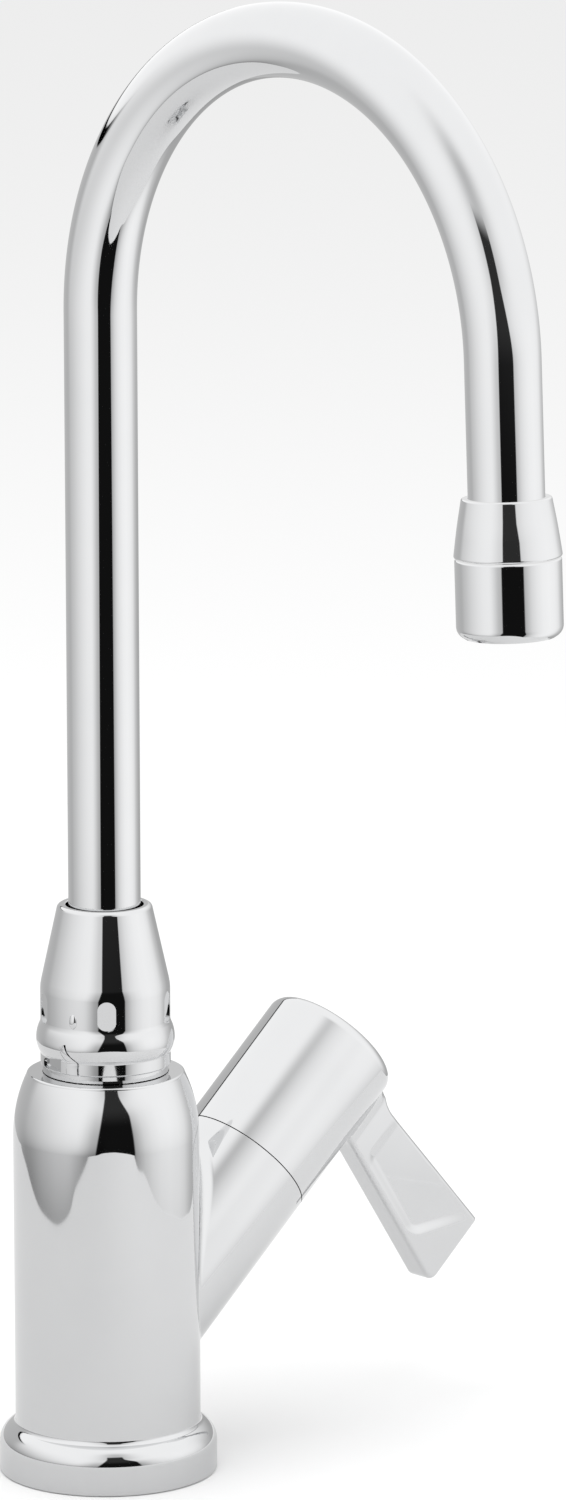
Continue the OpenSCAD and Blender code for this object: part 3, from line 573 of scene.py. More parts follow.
def makeCasting(sizes):
    skin = Skin()
    barrel = sizes["barrelRadius"]
    flange = castingHigh.y
    top = collarLow.z - sizes["neckRise"]
    columns, branchColumns = sizes["columns"], sizes["branchColumns"]
    patchLow, patchHalf = sizes["wallLow"], sizes["wallHalf"]
    patchHigh = top - sizes["shoulderHeight"] - sizes["wallEdge"]

    # Underside, gasket groove and shank bore, then the flange's edge, crown and foot
    groove = gasketHigh.z - gasketLow.z
    grooveOut, grooveIn, bore = gasketHigh.y, sizes["gasketIn"], shankHigh.y + sizes["slip"]
    boreTop = supplyHigh.z + sizes["supplyRoom"]
    crown = sizes["crownRound"]
    foot = sizes["footRound"]
    crownR = flange - crown
    footR = barrel + foot
    footZ = sizes["flangeEdge"] + math.sqrt((crown + foot) ** 2 - (footR - crownR) ** 2)
    meetShare = crown / (crown + foot)
    meetR = crownR + (footR - crownR) * meetShare
    meetZ = sizes["flangeEdge"] + (footZ - sizes["flangeEdge"]) * meetShare
    low = Outline(0, boreTop)
    low.line(bore, boreTop).line(bore, 0).line(grooveIn, 0).line(grooveIn, groove)
    low.line(grooveOut, groove).line(grooveOut, 0)
    low.corner(flange, 0, sizes["baseRound"], flange, sizes["flangeEdge"])
    low.line(flange, sizes["flangeEdge"])
    low.arc(crownR, sizes["flangeEdge"], meetR, meetZ, 3).arc(footR, footZ, barrel, footZ, 5)
    low.line(barrel, patchLow)
    turned(skin, low, uprightSeat, columns)

    # Shoulder, top and the nipple's bore
    shoulder = top - sizes["shoulderHeight"]
    rise = sizes["shoulderHeight"] - sizes["topRound"]
    drop = barrel - sizes["topRadius"]
    sweep = (rise * rise + drop * drop) / (2 * drop)
    roundR = sizes["topRadius"] - sizes["topRound"]
    high = Outline(barrel, patchHigh)
    high.line(barrel, shoulder)
    high.arc(barrel - sweep, shoulder, sizes["topRadius"], shoulder + rise, 1.5)
    high.arc(roundR, top - sizes["topRound"], roundR, top, 12)
    nippleBore = nippleHigh.y + sizes["slip"]
    high.line(nippleBore, top).line(nippleBore, nippleLow.z).line(0, nippleLow.z)
    turned(skin, high, uprightSeat, columns)

    # Where a ball of the round's size rolls along the join of barrel and branch
    branch = sizes["branchRadius"]
    origin, axes = branchSeat
    angles = np.arange(branchColumns) * 2 * math.pi / branchColumns
    # The round is larger in the crotch above the branch
    off, fade = np.degrees(np.abs(angles - math.pi)), sizes["crotchFade"]
    share = np.clip((fade - off) / (fade - sizes["crotchFull"]), 0, 1)
    share = share * share * (3 - 2 * share)
    ball = sizes["branchRound"] + (sizes["crotchRound"] - sizes["branchRound"]) * share
    away = np.outer(np.cos(angles), axes[0]) + np.outer(np.sin(angles), axes[1])
    ride = branch + ball
    reach = np.sqrt((barrel + ball) ** 2 - (ride * np.sin(angles)) ** 2)
    joinS = (reach - ride * np.cos(angles) * axes[0][0]) / axes[2][0]
    centres = origin + ride[:, None] * away + joinS[:, None] * axes[2]
    fromAxis = centres * np.array([1, 1, 0]) / (barrel + ball)[:, None]
    ball = ball[:, None]
    opening = np.arccos(np.clip((fromAxis * away).sum(1), -1, 1))[:, None]
    strip = []
    for share in np.linspace(0, 1, sizes["roundSteps"]):
        mixed = np.sin((1 - share) * opening) * fromAxis + np.sin(share * opening) * away
        strip.append(mixed / np.sin(opening))
    strip = np.array(strip)
    skin.grid(centres - ball * strip, strip[:-1], strip[1:])

    # Branch tube, its rim at the parting, and the cartridge's bore
    end = hubStart - sizes["parting"]
    rim = end - sizes["rimRound"]
    starts = centres - ball * away
    ends = origin + branch * away + rim * axes[2]
    rows = np.array([starts, ends])
    skin.grid(rows, away[None], away[None])
    socket, floor = sizes["socketRadius"], sizes["socketFloor"]
    mouth = Outline(branch, rim)
    mouth.arc(branch - sizes["rimRound"], rim, branch - sizes["rimRound"], end, 30)
    mouth.line(socket, end).line(socket, floor).line(0, floor)
    turned(skin, mouth, branchSeat, branchColumns)

    # Barrel wall round the branch
    ring = np.arange(columns) * 2 * math.pi / columns

    def wall(angle, z):
        return np.stack([barrel * np.cos(angle), barrel * np.sin(angle), z], axis=-1)

    behind = ring[patchHalf : columns - patchHalf + 1]
    rows = np.array([wall(behind, behind * 0 + patchLow), wall(behind, behind * 0 + patchHigh)])
    facing = rows[:1] / barrel * np.array([1, 1, 0])
    skin.grid(rows, facing, facing, wrapped=False)
    front = np.concatenate([ring[columns - patchHalf :] - 2 * math.pi, ring[: patchHalf + 1]])
    edge = centres - ball * fromAxis
    edgeAngle = np.arctan2(edge[:, 1], edge[:, 0])
    hole = np.stack([edgeAngle * barrel, edge[:, 2]], axis=1)
    step = sizes["wallStep"]
    gridZ = np.arange(patchLow + step, patchHigh - sizes["wallRim"], step)
    inner = np.array([(a * barrel, z) for a in front[1:-1] for z in gridZ])
    gap = np.sqrt(((inner[:, None] - hole[None]) ** 2).sum(2)).min(1)
    inner = inner[(gap > sizes["roundRim"]) & ~insideLoop(inner, hole)]
    lowEdge = np.stack([front * barrel, front * 0 + patchLow], axis=1)
    highEdge = np.stack([front * barrel, front * 0 + patchHigh], axis=1)[::-1]
    flat = np.concatenate([lowEdge, highEdge, hole, inner])
    outer = list(range(2 * len(front)))
    holeLoop = list(range(2 * len(front), 2 * len(front) + len(hole)))
    points = wall(flat[:, 0] / barrel, flat[:, 1])
    points[holeLoop] = edge
    normals = points / barrel * np.array([1, 1, 0])
    skin.patch(flat, points, normals, [outer, holeLoop])
    return skin.make("casting")


finished(makeCasting(castingSizes), chrome, "base", "chrome", "faucet_body")

# Handle: hub and blade in one casting, found as the zero level of a distance rule

handleSizes = {
    "hubLength": 0.0436,
    "hubRound": 0.0031,
    "reach": 0.0769,
    "thickness": 0.0084,
    "tipWidth": 0.0233,
    "neckWidth": 0.0163,
    "tipInset": 0.0009,
    "neckInset": 0.0017,
    "neckReach": 0.03,
    "neckSweep": 0.012,
    "tipRound": 0.0032,
    "endRound": 0.001,
    "edgeRound": 0.0012,
    "neckBlend": 0.006,
    "dish": 0.00075,
    "panelStart": 0.0303,
    "panelRim": 0.0014,
    "panelTip": 0.0766,
    "panelLean": 0.76,
    "panelRound": 0.004,
    "panelStep": 0.0034,
    "panelFade": 0.021,
    "skirtBore": 0.0166,
    "skirtDepth": 0.007,
    "cavity": 0.0155,
    "roof": 0.004,
    "boss": 0.0076,
    "bossStart": 0.0032,
    "bossBore": 0.0046,
    "boreDepth": 0.0152,
    "boreFloor": 0.0028,
    "capRecess": 0.0081,
    "recessDepth": 0.0018,
    "recessEdge": 0.0002,
    "recessRim": 0.0022,
    "topSlack": 1e-5,
    "cell": 0.0005,
    "settling": 4,
    "columns": 144,
}


def roundMax(one, two, radius):
    # Overlap of two shapes with a rounded edge
    u, v = np.maximum(one + radius, 0), np.maximum(two + radius, 0)
    return np.minimum(-radius, np.maximum(one, two)) + np.hypot(u, v)


def roundMin(one, two, radius):
    # Two shapes joined with a hollow round
    u, v = np.maximum(radius - one, 0), np.maximum(radius - two, 0)
    return np.maximum(radius, np.minimum(one, two)) - np.hypot(u, v)


def handleRule(sizes):
    hubR = castingSizes["branchRadius"]
    top = hubStart + sizes["hubLength"]
    span = sizes["reach"] - sizes["neckReach"]
    tipLow = top - sizes["tipInset"] - sizes["tipWidth"]
    neckLow = top - sizes["neckInset"] - sizes["neckWidth"]
    lowSlope = (tipLow - neckLow) / span
    highSlope = (sizes["neckInset"] - sizes["tipInset"]) / span
    sweep = sizes["neckSweep"]

    def smooth(value, low, high):
        t = np.clip((value - low) / (high - low), 0, 1)
        return t * t * (3 - 2 * t)

    def rule(p):
        d, y, s = p[..., 0], p[..., 1], p[..., 2]
        hub = roundMax(np.hypot(d, y) - hubR, s - top, sizes["hubRound"])
        beyond = d - sizes["neckReach"]
        before = np.clip(-beyond, 0, sweep / 2)
        lowEdge = neckLow + lowSlope * beyond
        highEdge = top - sizes["neckInset"] + highSlope * np.maximum(beyond, 0)
        highEdge = highEdge + sweep - np.sqrt(sweep**2 - before**2)
        below = (lowEdge - s) / math.hypot(1, lowSlope)
        above = (s - highEdge) / math.hypot(1, highSlope)
        plan = roundMax(below, d - sizes["reach"], sizes["tipRound"])
        plan = roundMax(plan, above, sizes["endRound"])
        # The face is dished a little inside its lower edge, the neck and the tip
        inward = s - lowEdge
        lean = sizes["panelLean"]
        tipSide = (sizes["panelTip"] + lean * (s - top) - d) / math.hypot(1, lean)
        bend = sizes["panelRound"]
        outside = roundMax(sizes["panelRim"] - inward, sizes["panelStart"] - d, bend)
        outside = roundMax(outside, -tipSide, bend)
        level = np.clip(1 - inward / sizes["panelFade"], 0, 1)
        panel = smooth(-outside, 0, sizes["panelStep"]) * level
        face = np.abs(y) - sizes["thickness"] / 2 + sizes["dish"] * panel
        blade = roundMax(plan, face, sizes["edgeRound"])
        blade = np.maximum(blade, -d)
        return roundMin(hub, blade, sizes["neckBlend"])

    return rule, top


def ruleNormals(rule, points):
    step = 2e-5
    parts = []
    for axis in range(3):
        shift = np.zeros(3)
        shift[axis] = step
        parts.append(rule(points + shift) - rule(points - shift))
    return np.stack(parts, axis=-1) / (2 * step)


def zeroLevel(rule, low, counts, cell):
    # One point for each cell that the surface crosses, and one face for each edge that it cuts
    steps = [low[k] + cell * np.arange(counts[k] + 1) for k in range(3)]
    lattice = np.stack(np.meshgrid(*steps, indexing="ij"), axis=-1)
    level = rule(lattice)
    inside = level < 0
    total = np.zeros(counts + (3,))
    crossings = np.zeros(counts)
    for axis in range(3):
        one = [slice(None)] * 3
        two = [slice(None)] * 3
        one[axis], two[axis] = slice(None, -1), slice(1, None)
        a, b = level[tuple(one)], level[tuple(two)]
        cut = (a < 0) != (b < 0)
        share = np.where(cut, a / np.where(cut, a - b, 1), 0)
        place = lattice[tuple(one)].copy()
        place[..., axis] += share * cell
        place *= cut[..., None]
        others = [k for k in range(3) if k != axis]
        for u in (0, 1):
            for v in (0, 1):
                pick = [slice(None)] * 3
                pick[others[0]] = slice(u, u + counts[others[0]])
                pick[others[1]] = slice(v, v + counts[others[1]])
                total += place[tuple(pick)]
                crossings += cut[tuple(pick)]
    used = crossings > 0
    number = np.full(counts, -1)
    number[used] = np.arange(used.sum())
    points = total[used] / crossings[used][:, None]
    quads = []
    for axis in range(3):
        others = [k for k in range(3) if k != axis]
        one = [slice(1, -1)] * 3
        two = [slice(1, -1)] * 3
        one[axis], two[axis] = slice(None, -1), slice(1, None)
        cut = inside[tuple(one)] != inside[tuple(two)]
        where = np.argwhere(cut)
        around = []
        for u, v in ((0, 0), (1, 0), (1, 1), (0, 1)):
            cellAt = where.copy()
            cellAt[:, others[0]] += u
            cellAt[:, others[1]] += v
            around.append(number[tuple(cellAt.T)])
        quads.append(np.stack(around, axis=1))
    return points, np.concatenate(quads)


def edgeLoops(quads):
    # The open edges of a sheet of faces, as closed loops of point numbers
    seen = {}
    for quad in quads.tolist():
        for a, b in zip(quad, quad[1:] + quad[:1]):
            key = (min(a, b), max(a, b))
            seen[key] = seen.get(key, 0) + 1
    links = {}
    for (a, b), count in seen.items():
        if count == 1:
            links.setdefault(a, []).append(b)
            links.setdefault(b, []).append(a)
    loops = []
    while links:
        start = next(iter(links))
        loop, here, last = [start], links[start][0], start
        while here != start:
            loop.append(here)
            ahead = [n for n in links[here] if n != last]
            last, here = here, ahead[0]
        for n in loop:
            links.pop(n)
        loops.append(loop)
    return loops


def makeHandle(sizes):
    skin = Skin()
    rule, top = handleRule(sizes)
    hubR = castingSizes["branchRadius"]
    cell = sizes["cell"]
    low = np.array([-hubR - 2 * cell, -hubR - 2 * cell, hubStart])
    high = np.array([sizes["reach"] + 2 * cell, hubR + 2 * cell, top + 2 * cell])
    counts = tuple(int(math.ceil(n)) for n in (high - low) / cell)
    points, quads = zeroLevel(rule, low, counts, cell)
    for _ in range(sizes["settling"]):
        slope = ruleNormals(rule, points)
        points -= (rule(points) / (slope**2).sum(1))[:, None] * slope

    # The hub's top stays open where the cap's recess is, and its foot ends at the parting
    recess = sizes["capRecess"]
    fromAxis = np.hypot(points[:, 0], points[:, 1])
    topFlat = (points[:, 2] > top - sizes["topSlack"]) & (fromAxis < recess + sizes["recessRim"])
    quads = quads[~topFlat[quads].any(1)]
    loops = edgeLoops(quads)
    origin, axes = branchSeat
    normals = ruleNormals(rule, points)
    normals /= np.linalg.norm(normals, axis=1)[:, None]
    for loop in loops:
        if points[loop, 2].mean() < (hubStart + top) / 2:
            rim = points[loop, :2]
            points[loop, :2] = rim / np.linalg.norm(rim, axis=1)[:, None] * hubR
            points[loop, 2] = hubStart
            foot = loop
        else:
            points[loop, 2] = top
            crown = loop
    world = points @ axes + origin
    skin.add(world[quads], (normals @ axes)[quads])

    # Flat rings between those open edges and the turned inside
    inner, cavity, roof = sizes["skirtBore"], sizes["cavity"], top - sizes["roof"]
    skirt = hubStart + sizes["skirtDepth"]
    boss, bore = sizes["boss"], sizes["bossBore"]
    bossStart, boreEnd = hubStart + sizes["bossStart"], hubStart + sizes["boreDepth"]
    inside = Outline(inner, hubStart)
    inside.line(inner, skirt).line(cavity, skirt).line(cavity, roof).line(boss, roof)
    inside.line(boss, bossStart).line(bore, bossStart).line(bore, boreEnd).line(0, boreEnd)
    wellEnd, recessEnd = boreEnd + sizes["boreFloor"], top - sizes["recessDepth"]
    edge = sizes["recessEdge"]
    pocket = Outline(0, wellEnd)
    pocket.line(bore, wellEnd).line(bore, recessEnd).line(recess, recessEnd)
    pocket.line(recess, top - edge).line(recess + edge, top)
    columns = sizes["columns"]
    turned(skin, inside, branchSeat, columns)
    turned(skin, pocket, branchSeat, columns)
    angles = np.arange(columns) * 2 * math.pi / columns
    for loop, radius, level, facing in (
        (foot, inner, hubStart, -1.0),
        (crown, recess + edge, top, 1.0),
    ):
        circle = radius * np.stack([np.cos(angles), np.sin(angles)], axis=1)
        flat = np.concatenate([points[loop, :2], circle])
        level = np.concatenate([flat, np.full((len(flat), 1), level)], axis=1)
        bothLoops = [list(range(len(loop))), list(range(len(loop), len(flat)))]
        turnedNormals = np.tile(axes[2] * facing, (len(flat), 1))
        skin.patch(flat, level @ axes + origin, turnedNormals, bothLoops)
    return skin.make("leverHandle")


finished(makeHandle(handleSizes), chrome, "handle", "chrome", "lever_handle")

# Cap: a stemmed plug that closes the hub's top over the screw

capSizes = {
    "radius": 0.008,
    "edge": 0.0004,
    "crown": 0.0003,
    "stem": 0.0045,
    "stemLength": 0.006,
    "hollow": 0.0033,
    "hollowDepth": 0.0005,
    "columns": 96,
}


def makeIndexCap(sizes):
    skin = Skin()
    top = hubStart + handleSizes["hubLength"]
    seat = top - handleSizes["recessDepth"]
    low = seat - sizes["stemLength"]
    hollow, stem, radius = sizes["hollow"], sizes["stem"], sizes["radius"]
    cap = Outline(0, low + sizes["hollowDepth"])
    cap.line(hollow, low + sizes["hollowDepth"]).line(hollow, low).line(stem, low)
    cap.line(stem, seat).line(radius, seat)
    cap.corner(radius, top, sizes["edge"], 0, top + sizes["crown"])
    cap.line(0, top + sizes["crown"])
    turned(skin, cap, branchSeat, sizes["columns"])
    return skin.make("indexPlug")


finished(makeIndexCap(capSizes), chrome, "handle", "chrome", "index_cap")

# Collar: bulge, straight barrel and cone, with five wrench flats, a bump, a slit and a window

collarSizes = {
    "radius": 0.01714,
    "skirtRadius": 0.0172,
    "bore": 0.0143,
    "skirtHeight": 0.0031,
    "skirtEdge": 0.0003,
    "hollowRound": 0.0009,
    "hollowLean": 30,
    "bulgeUnder": 0.0072,
    "bulgeOver": 0.009,
    "bulgeLean": 25,
    "coneDrop": 0.0214,
    "coneRound": 0.012,
    "topRadius": 0.0124,
    "topRound": 0.0012,
    "mouth": 0.010275,
    "mouthEdge": 0.0003,
    "innerHeight": 0.0257,
    "columns": 240,
    "cutClear": 0.003,
    "flats": 5,
    "flatWidth": 0.0049,
    "flatHeight": 0.0082,
    "flatDepth": 0.0004,
    "flatTilt": 4.5,
    "flatMiddle": 0.016,
    "firstFlat": -129.1,
    "flatSides": 40,
    "bumpTurn": -160,
    "bumpMiddle": 0.0144,
    "bumpSink": 0.0001,
    "bumpHalf": (0.0007, 0.0011, 0.002),
    "slitWidth": 0.0007,
    "slitDepth": 0.0019,
    "slitClear": 0.002,
    "slitFoot": 0.0012,
    "slitRows": 37,
    "slitSmoothing": 4,
    "slitRamp": 5,
    "slopeStep": 0.00005,
    "slopeDepth": 0.00036,
    "slopeCurve": 1.7,
    "slopeSteps": 8,
    "windowTurn": -201,
    "windowSweep": 29,
    "windowLow": 0.0004,
    "windowHigh": 0.00386,
    "windowDroop": 0.0013,
    "windowFloor": 0.0162,
    "windowFacing": -193,
    "windowRows": 25,
    "droopCurve": 1.5,
    "pinch": 0.0005,
    "pinchShare": 0.12,
}
# The slit's two edges, as turns round the axis in degrees and heights over the collar's foot in mm
slitEdge = [
    (-165.6, 8.3),
    (-164.5, 6.6),
    (-161.6, 5.3),
    (-158, 4.4),
    (-154, 3.3),
    (-154.6, 2),
    (-154, -1),
]
slopeEdge = [
    (-171.3, 7.7),
    (-171.1, 5.9),
    (-169, 4.6),
    (-166.4, 3.6),
    (-167.3, 2.6),
    (-167.4, 1.7),
    (-167.2, -1),
]


def collarOutline(sizes):
    low, top = collarLow.z, collarHigh.z
    outer, skirt = sizes["radius"], sizes["skirtRadius"]
    start = low + sizes["skirtHeight"]
    outline = Outline(sizes["bore"], low)
    outline.corner(skirt, low, sizes["skirtEdge"], skirt, start)
    outline.line(skirt, start)
    # Hollow at the skirt's top, round under the bulge and over it, hollow at the barrel's foot
    bend, tilt = sizes["hollowRound"], math.radians(sizes["hollowLean"])
    r, z = skirt + bend * (1 - math.cos(tilt)), start + bend * math.sin(tilt)
    outline.arc(skirt + bend, start, r, z, 5)
    bend = sizes["bulgeUnder"]
    r, z = r + bend * (1 - math.cos(tilt)), z + bend * math.sin(tilt)
    outline.arc(r - bend, z, r, z, 2)
    bend, tilt = sizes["bulgeOver"], math.radians(sizes["bulgeLean"])
    middle = (r - bend, z)
    r, z = middle[0] + bend * math.cos(tilt), z + bend * math.sin(tilt)
    outline.arc(*middle, r, z, 2)
    bend = (r - outer) / (1 - math.cos(tilt))
    outline.arc(outer + bend, z + bend * math.sin(tilt), outer, z + bend * math.sin(tilt), 3)
    coneStart, coneEnd = top - sizes["coneDrop"], top - sizes["topRound"]
    mouth, inner = sizes["mouth"], low + sizes["innerHeight"]
    outline.corner(outer, coneStart, sizes["coneRound"], sizes["topRadius"], coneEnd)
    outline.corner(sizes["topRadius"], top, sizes["topRound"], mouth, top)
    outline.corner(mouth, top, sizes["mouthEdge"], mouth, inner)
    outline.line(mouth, inner).line(sizes["bore"], inner).line(sizes["bore"], low)
    return outline


def radiusAt(outline, z):
    # The outside's radius at a height
    found = 0
    for (r1, z1), (r2, z2) in zip(outline.points, outline.points[1:]):
        if z1 != z2 and min(z1, z2) <= z <= max(z1, z2):
            found = max(found, r1 + (r2 - r1) * (z - z1) / (z2 - z1))
    return found


def boxAround(name, rows):
    # A closed block through rings of points, for cutting
    rows = np.array(rows)
    count, size = rows.shape[:2]
    faces = [list(range(size))[::-1], list(range((count - 1) * size, count * size))]
    for i in range(count - 1):
        for j in range(size):
            k = (j + 1) % size
            faces.append([i * size + j, i * size + k, (i + 1) * size + k, (i + 1) * size + j])
    mesh = meshOf(name, rows.reshape(-1, 3).tolist(), faces)
    shell = bmesh.new()
    shell.from_mesh(mesh)
    bmesh.ops.recalc_face_normals(shell, faces=shell.faces)
    shell.to_mesh(mesh)
    shell.free()
    return placed(name, mesh)


def roundWall(angle, radius, z):
    return (radius * math.cos(angle), radius * math.sin(angle), z)


def flatCutters(sizes):
    # Round-ended blocks for the wrench flats, which lean a little
    middle, half = collarLow.z + sizes["flatMiddle"], sizes["flatWidth"] / 2
    straight = (sizes["flatHeight"] - sizes["flatWidth"]) / 2
    slope = math.tan(math.radians(sizes["flatTilt"]))
    shape = []
    for k in range(sizes["flatSides"]):
        angle = 2 * math.pi * (k + 0.5) / sizes["flatSides"]
        rise = math.copysign(straight, math.sin(angle)) + half * math.sin(angle)
        shape.append((half * math.cos(angle), middle + rise))
    cutters = []
    for i in range(sizes["flats"]):
        turn = math.radians(sizes["firstFlat"] + i * 360 / sizes["flats"])
        rows = []
        for out in (-sizes["flatDepth"], sizes["cutClear"]):
            rows.append([])
            for u, z in shape:
                r = sizes["radius"] + out + (z - middle) * slope
                x = r * math.cos(turn) - u * math.sin(turn)
                rows[-1].append((x, r * math.sin(turn) + u * math.cos(turn), z))
        cutters.append(boxAround("flatCut", rows))
    return cutters


def slitCutter(sizes, outline):
    # The slit runs up from the skirt's edge and bends away, with a rounded slope on its left side
    low, clear, deepest = collarLow.z, sizes["slitClear"], sizes["slitDepth"]
    steps = np.linspace(0, len(slitEdge) - 1, sizes["slitRows"])
    edges = []
    for line in (slitEdge, slopeEdge):
        parts = [np.interp(steps, range(len(line)), part) for part in np.transpose(line)]
        line = np.array(parts).T
        for _ in range(sizes["slitSmoothing"]):
            line[1:-1] = (line[:-2] + 2 * line[1:-1] + line[2:]) / 4
        edges.append(line * (math.pi / 180, 0.001) + (0, low))
    first, last = sizes["slopeStep"], sizes["slopeSteps"]
    rows = []
    for i, (right, left) in enumerate(zip(*edges)):
        gap = (left - right) * (sizes["skirtRadius"], 1)
        share = sizes["slitWidth"] / np.linalg.norm(gap)
        deepen = min(1, (i + 1) / sizes["slitRamp"])
        profile = [(0, -deepest * deepen), (0, clear), (1, clear)]
        for k in range(last + 1):
            fall = first + (sizes["slopeDepth"] - first) * (k / last) ** sizes["slopeCurve"]
            profile.append((1 - (1 - share) * k / last, -fall * deepen))
        profile.append((share, -deepest * deepen))
        rows.append([])
        for across, out in profile:
            turn, z = right + (left - right) * across
            radius = radiusAt(outline, max(z, low + sizes["slitFoot"])) + out
            rows[-1].append(roundWall(turn, radius, z))
    return boxAround("slitCut", rows)


def windowCutter(sizes):
    # The window's flat floor faces one way, its head droops and its end is pinched shut
    clear = sizes["skirtRadius"] + sizes["cutClear"]
    rows = []
    for t in np.linspace(0, 1, sizes["windowRows"]):
        angle = math.radians(sizes["windowTurn"] + sizes["windowSweep"] * t)
        deep = sizes["windowFloor"] / math.cos(angle - math.radians(sizes["windowFacing"]))
        pinch = sizes["pinch"] * (1 - min(1, t / sizes["pinchShare"])) ** 2
        droop = sizes["windowDroop"] * (1 - t) ** sizes["droopCurve"]
        bottom = collarLow.z + sizes["windowLow"] + pinch
        head = collarLow.z + sizes["windowHigh"] - droop - pinch
        corners = ((deep, bottom), (clear, bottom), (clear, head), (deep, head))
        rows.append([roundWall(angle, r, z) for r, z in corners])
    return boxAround("windowCut", rows)


def makeBump(sizes):
    # A long low bump on the barrel
    turn = math.radians(sizes["bumpTurn"])
    radius = sizes["radius"] - sizes["bumpSink"]
    seat = Matrix.Translation(roundWall(turn, radius, collarLow.z + sizes["bumpMiddle"]))
    shape = seat @ Matrix.Rotation(turn, 4, "Z") @ Matrix.Diagonal((*sizes["bumpHalf"], 1))
    return placed("bump", ballMesh("bump", 48, 32, 1, shape))


def cutAway(piece, cutters, added=()):
    for cutter in (*added, *cutters):
        cut = piece.modifiers.new("cut", "BOOLEAN")
        cut.operation = "UNION" if cutter in added else "DIFFERENCE"
        cut.solver = "EXACT"
        cut.object = cutter
    keepResult(piece)
    for cutter in (*added, *cutters):
        bpy.data.objects.remove(cutter)


# How near a corner has to be to the turned surface, and how far its face may turn from it
polishLimits = {"turn": 14.0, "reach": 4e-6, "overrun": 0.02, "smoothed": 0.85}


def readAll(items, name, width=1, kind=float):
    values = np.zeros(len(items) * width, kind)
    items.foreach_get(name, values)
    return values.reshape(-1, width) if width > 1 else values


def polish(piece, outline, limits):
    # Gives each corner on the turned surface its true normal again, after cuts
    mesh = piece.data
    mesh.shade_smooth()
    cornerPoint = readAll(mesh.loops, "vertex_index", kind=int)
    corners = readAll(mesh.vertices, "co", 3)[cornerPoint]
    totals = readAll(mesh.polygons, "loop_total", kind=int)
    facing = np.repeat(readAll(mesh.polygons, "normal", 3), totals, axis=0)
    r = np.hypot(corners[:, 0], corners[:, 1])
    spoke = corners[:, :2] / np.maximum(r, 1e-9)[:, None]
    least = math.cos(math.radians(limits["turn"]))
    best = np.full(len(corners), least)
    result = facing.copy()
    steps = zip(outline.points, outline.points[1:], outline.before, outline.after)
    for one, two, before, after in steps:
        one, two = np.array(one), np.array(two)
        way = two - one
        share = ((np.stack([r, corners[:, 2]], axis=1) - one) @ way) / (way @ way)
        gone = np.hypot(r - one[0] - share * way[0], corners[:, 2] - one[1] - share * way[1])
        mix = np.clip(share, 0, 1)[:, None]
        normal = np.array(before) * (1 - mix) + np.array(after) * mix
        normal /= np.linalg.norm(normal, axis=1)[:, None]
        full = np.concatenate([spoke * normal[:, :1], normal[:, 1:]], axis=1)
        match = (full * facing).sum(1)
        near = (gone < limits["reach"]) & (np.abs(share - 0.5) < 0.5 + limits["overrun"])
        better = near & (match > best)
        best[better] = match[better]
        result[better] = full[better]
    # Faces of a cut are smoothed among themselves
    starts = np.concatenate([[0], np.cumsum(totals)[:-1]])
    turnedFace = np.minimum.reduceat(best, starts) > least
    aroundPoint = {}
    for i in np.flatnonzero(~turnedFace):
        for point in mesh.polygons[i].vertices:
            aroundPoint.setdefault(point, []).append(i)
    for i in np.flatnonzero(~turnedFace):
        own = np.array(mesh.polygons[i].normal)
        for k in range(starts[i], starts[i] + totals[i]):
            total = np.zeros(3)
            for other in aroundPoint[cornerPoint[k]]:
                normal = np.array(mesh.polygons[other].normal)
                if normal @ own > limits["smoothed"]:
                    total += normal * mesh.polygons[other].area
            result[k] = total / np.linalg.norm(total) if total.any() else own
    mesh.normals_split_custom_set(result.tolist())


def makeCollar(sizes):
    outline = collarOutline(sizes)
    skin = Skin()
    turned(skin, outline, uprightSeat, sizes["columns"])
    piece = skin.make("collar")
    cutters = [*flatCutters(sizes), slitCutter(sizes, outline), windowCutter(sizes)]
    cutAway(piece, cutters, [makeBump(sizes)])
    polish(piece, outline, polishLimits)
    return piece


finished(makeCollar(collarSizes), chrome, "base", "chrome", "spout_collar")

# Neck ring: the nipple, whose neck shows between body and collar and whose thread goes up inside

neckSizes = {
    "radius": 0.01662,
    "edge": 0.0002,
    "thread": 0.0138,
    "bore": 0.0107,
    "columns": 180,
}


def makeNeck(sizes):
    skin = Skin()
    body, foot = collarLow.z - castingSizes["neckRise"], collarLow.z
    neck, edge, thread, bore = (sizes[name] for name in ("radius", "edge", "thread", "bore"))
    outline = Outline(bore, nippleLow.z)
    outline.line(thread, nippleLow.z).line(thread, body)
    outline.line(neck - edge, body).line(neck, body + edge)
    outline.line(neck, foot - edge).line(neck - edge, foot)
    outline.line(thread, foot).line(thread, nippleHigh.z).line(bore, nippleHigh.z)
    outline.line(bore, nippleLow.z)
    turned(skin, outline, uprightSeat, sizes["columns"])
    return skin.make("neckRing")


finished(makeNeck(neckSizes), chrome, "base", "chrome", "spout_nipple")

# Gooseneck: a tube that follows the line up, the bend over and the tail down


def newTree(name, inputs):
    tree = bpy.data.node_groups.new(name, "GeometryNodeTree")
    for label, kind in inputs.items():
        tree.interface.new_socket(label, in_out="INPUT", socket_type="NodeSocket" + kind)
    tree.interface.new_socket("Geometry", in_out="OUTPUT", socket_type="NodeSocketGeometry")
    given = tree.nodes.new("NodeGroupInput")
    return tree, {output.name: Wire(tree, output) for output in given.outputs if output.name}


def endTree(given, geometry):
    real = geometry.node("GeometryNodeRealizeInstances", Geometry=geometry)
    painted = real.node("GeometryNodeSetMaterial", Geometry=real, Material=given["Material"])
    painted.ends("NodeGroupOutput")


def grown(name, tree, values):
    # Runs a tree with its inputs set, and keeps what it makes as a plain mesh
    piece = placed(name, bpy.data.meshes.new(name))
    maker = piece.modifiers.new(tree.name, "NODES")
    maker.node_group = tree
    for socket in tree.interface.items_tree:
        if socket.in_out == "INPUT" and socket.name in values:
            maker[socket.identifier] = values[socket.name]
    keepResult(piece)
    return piece


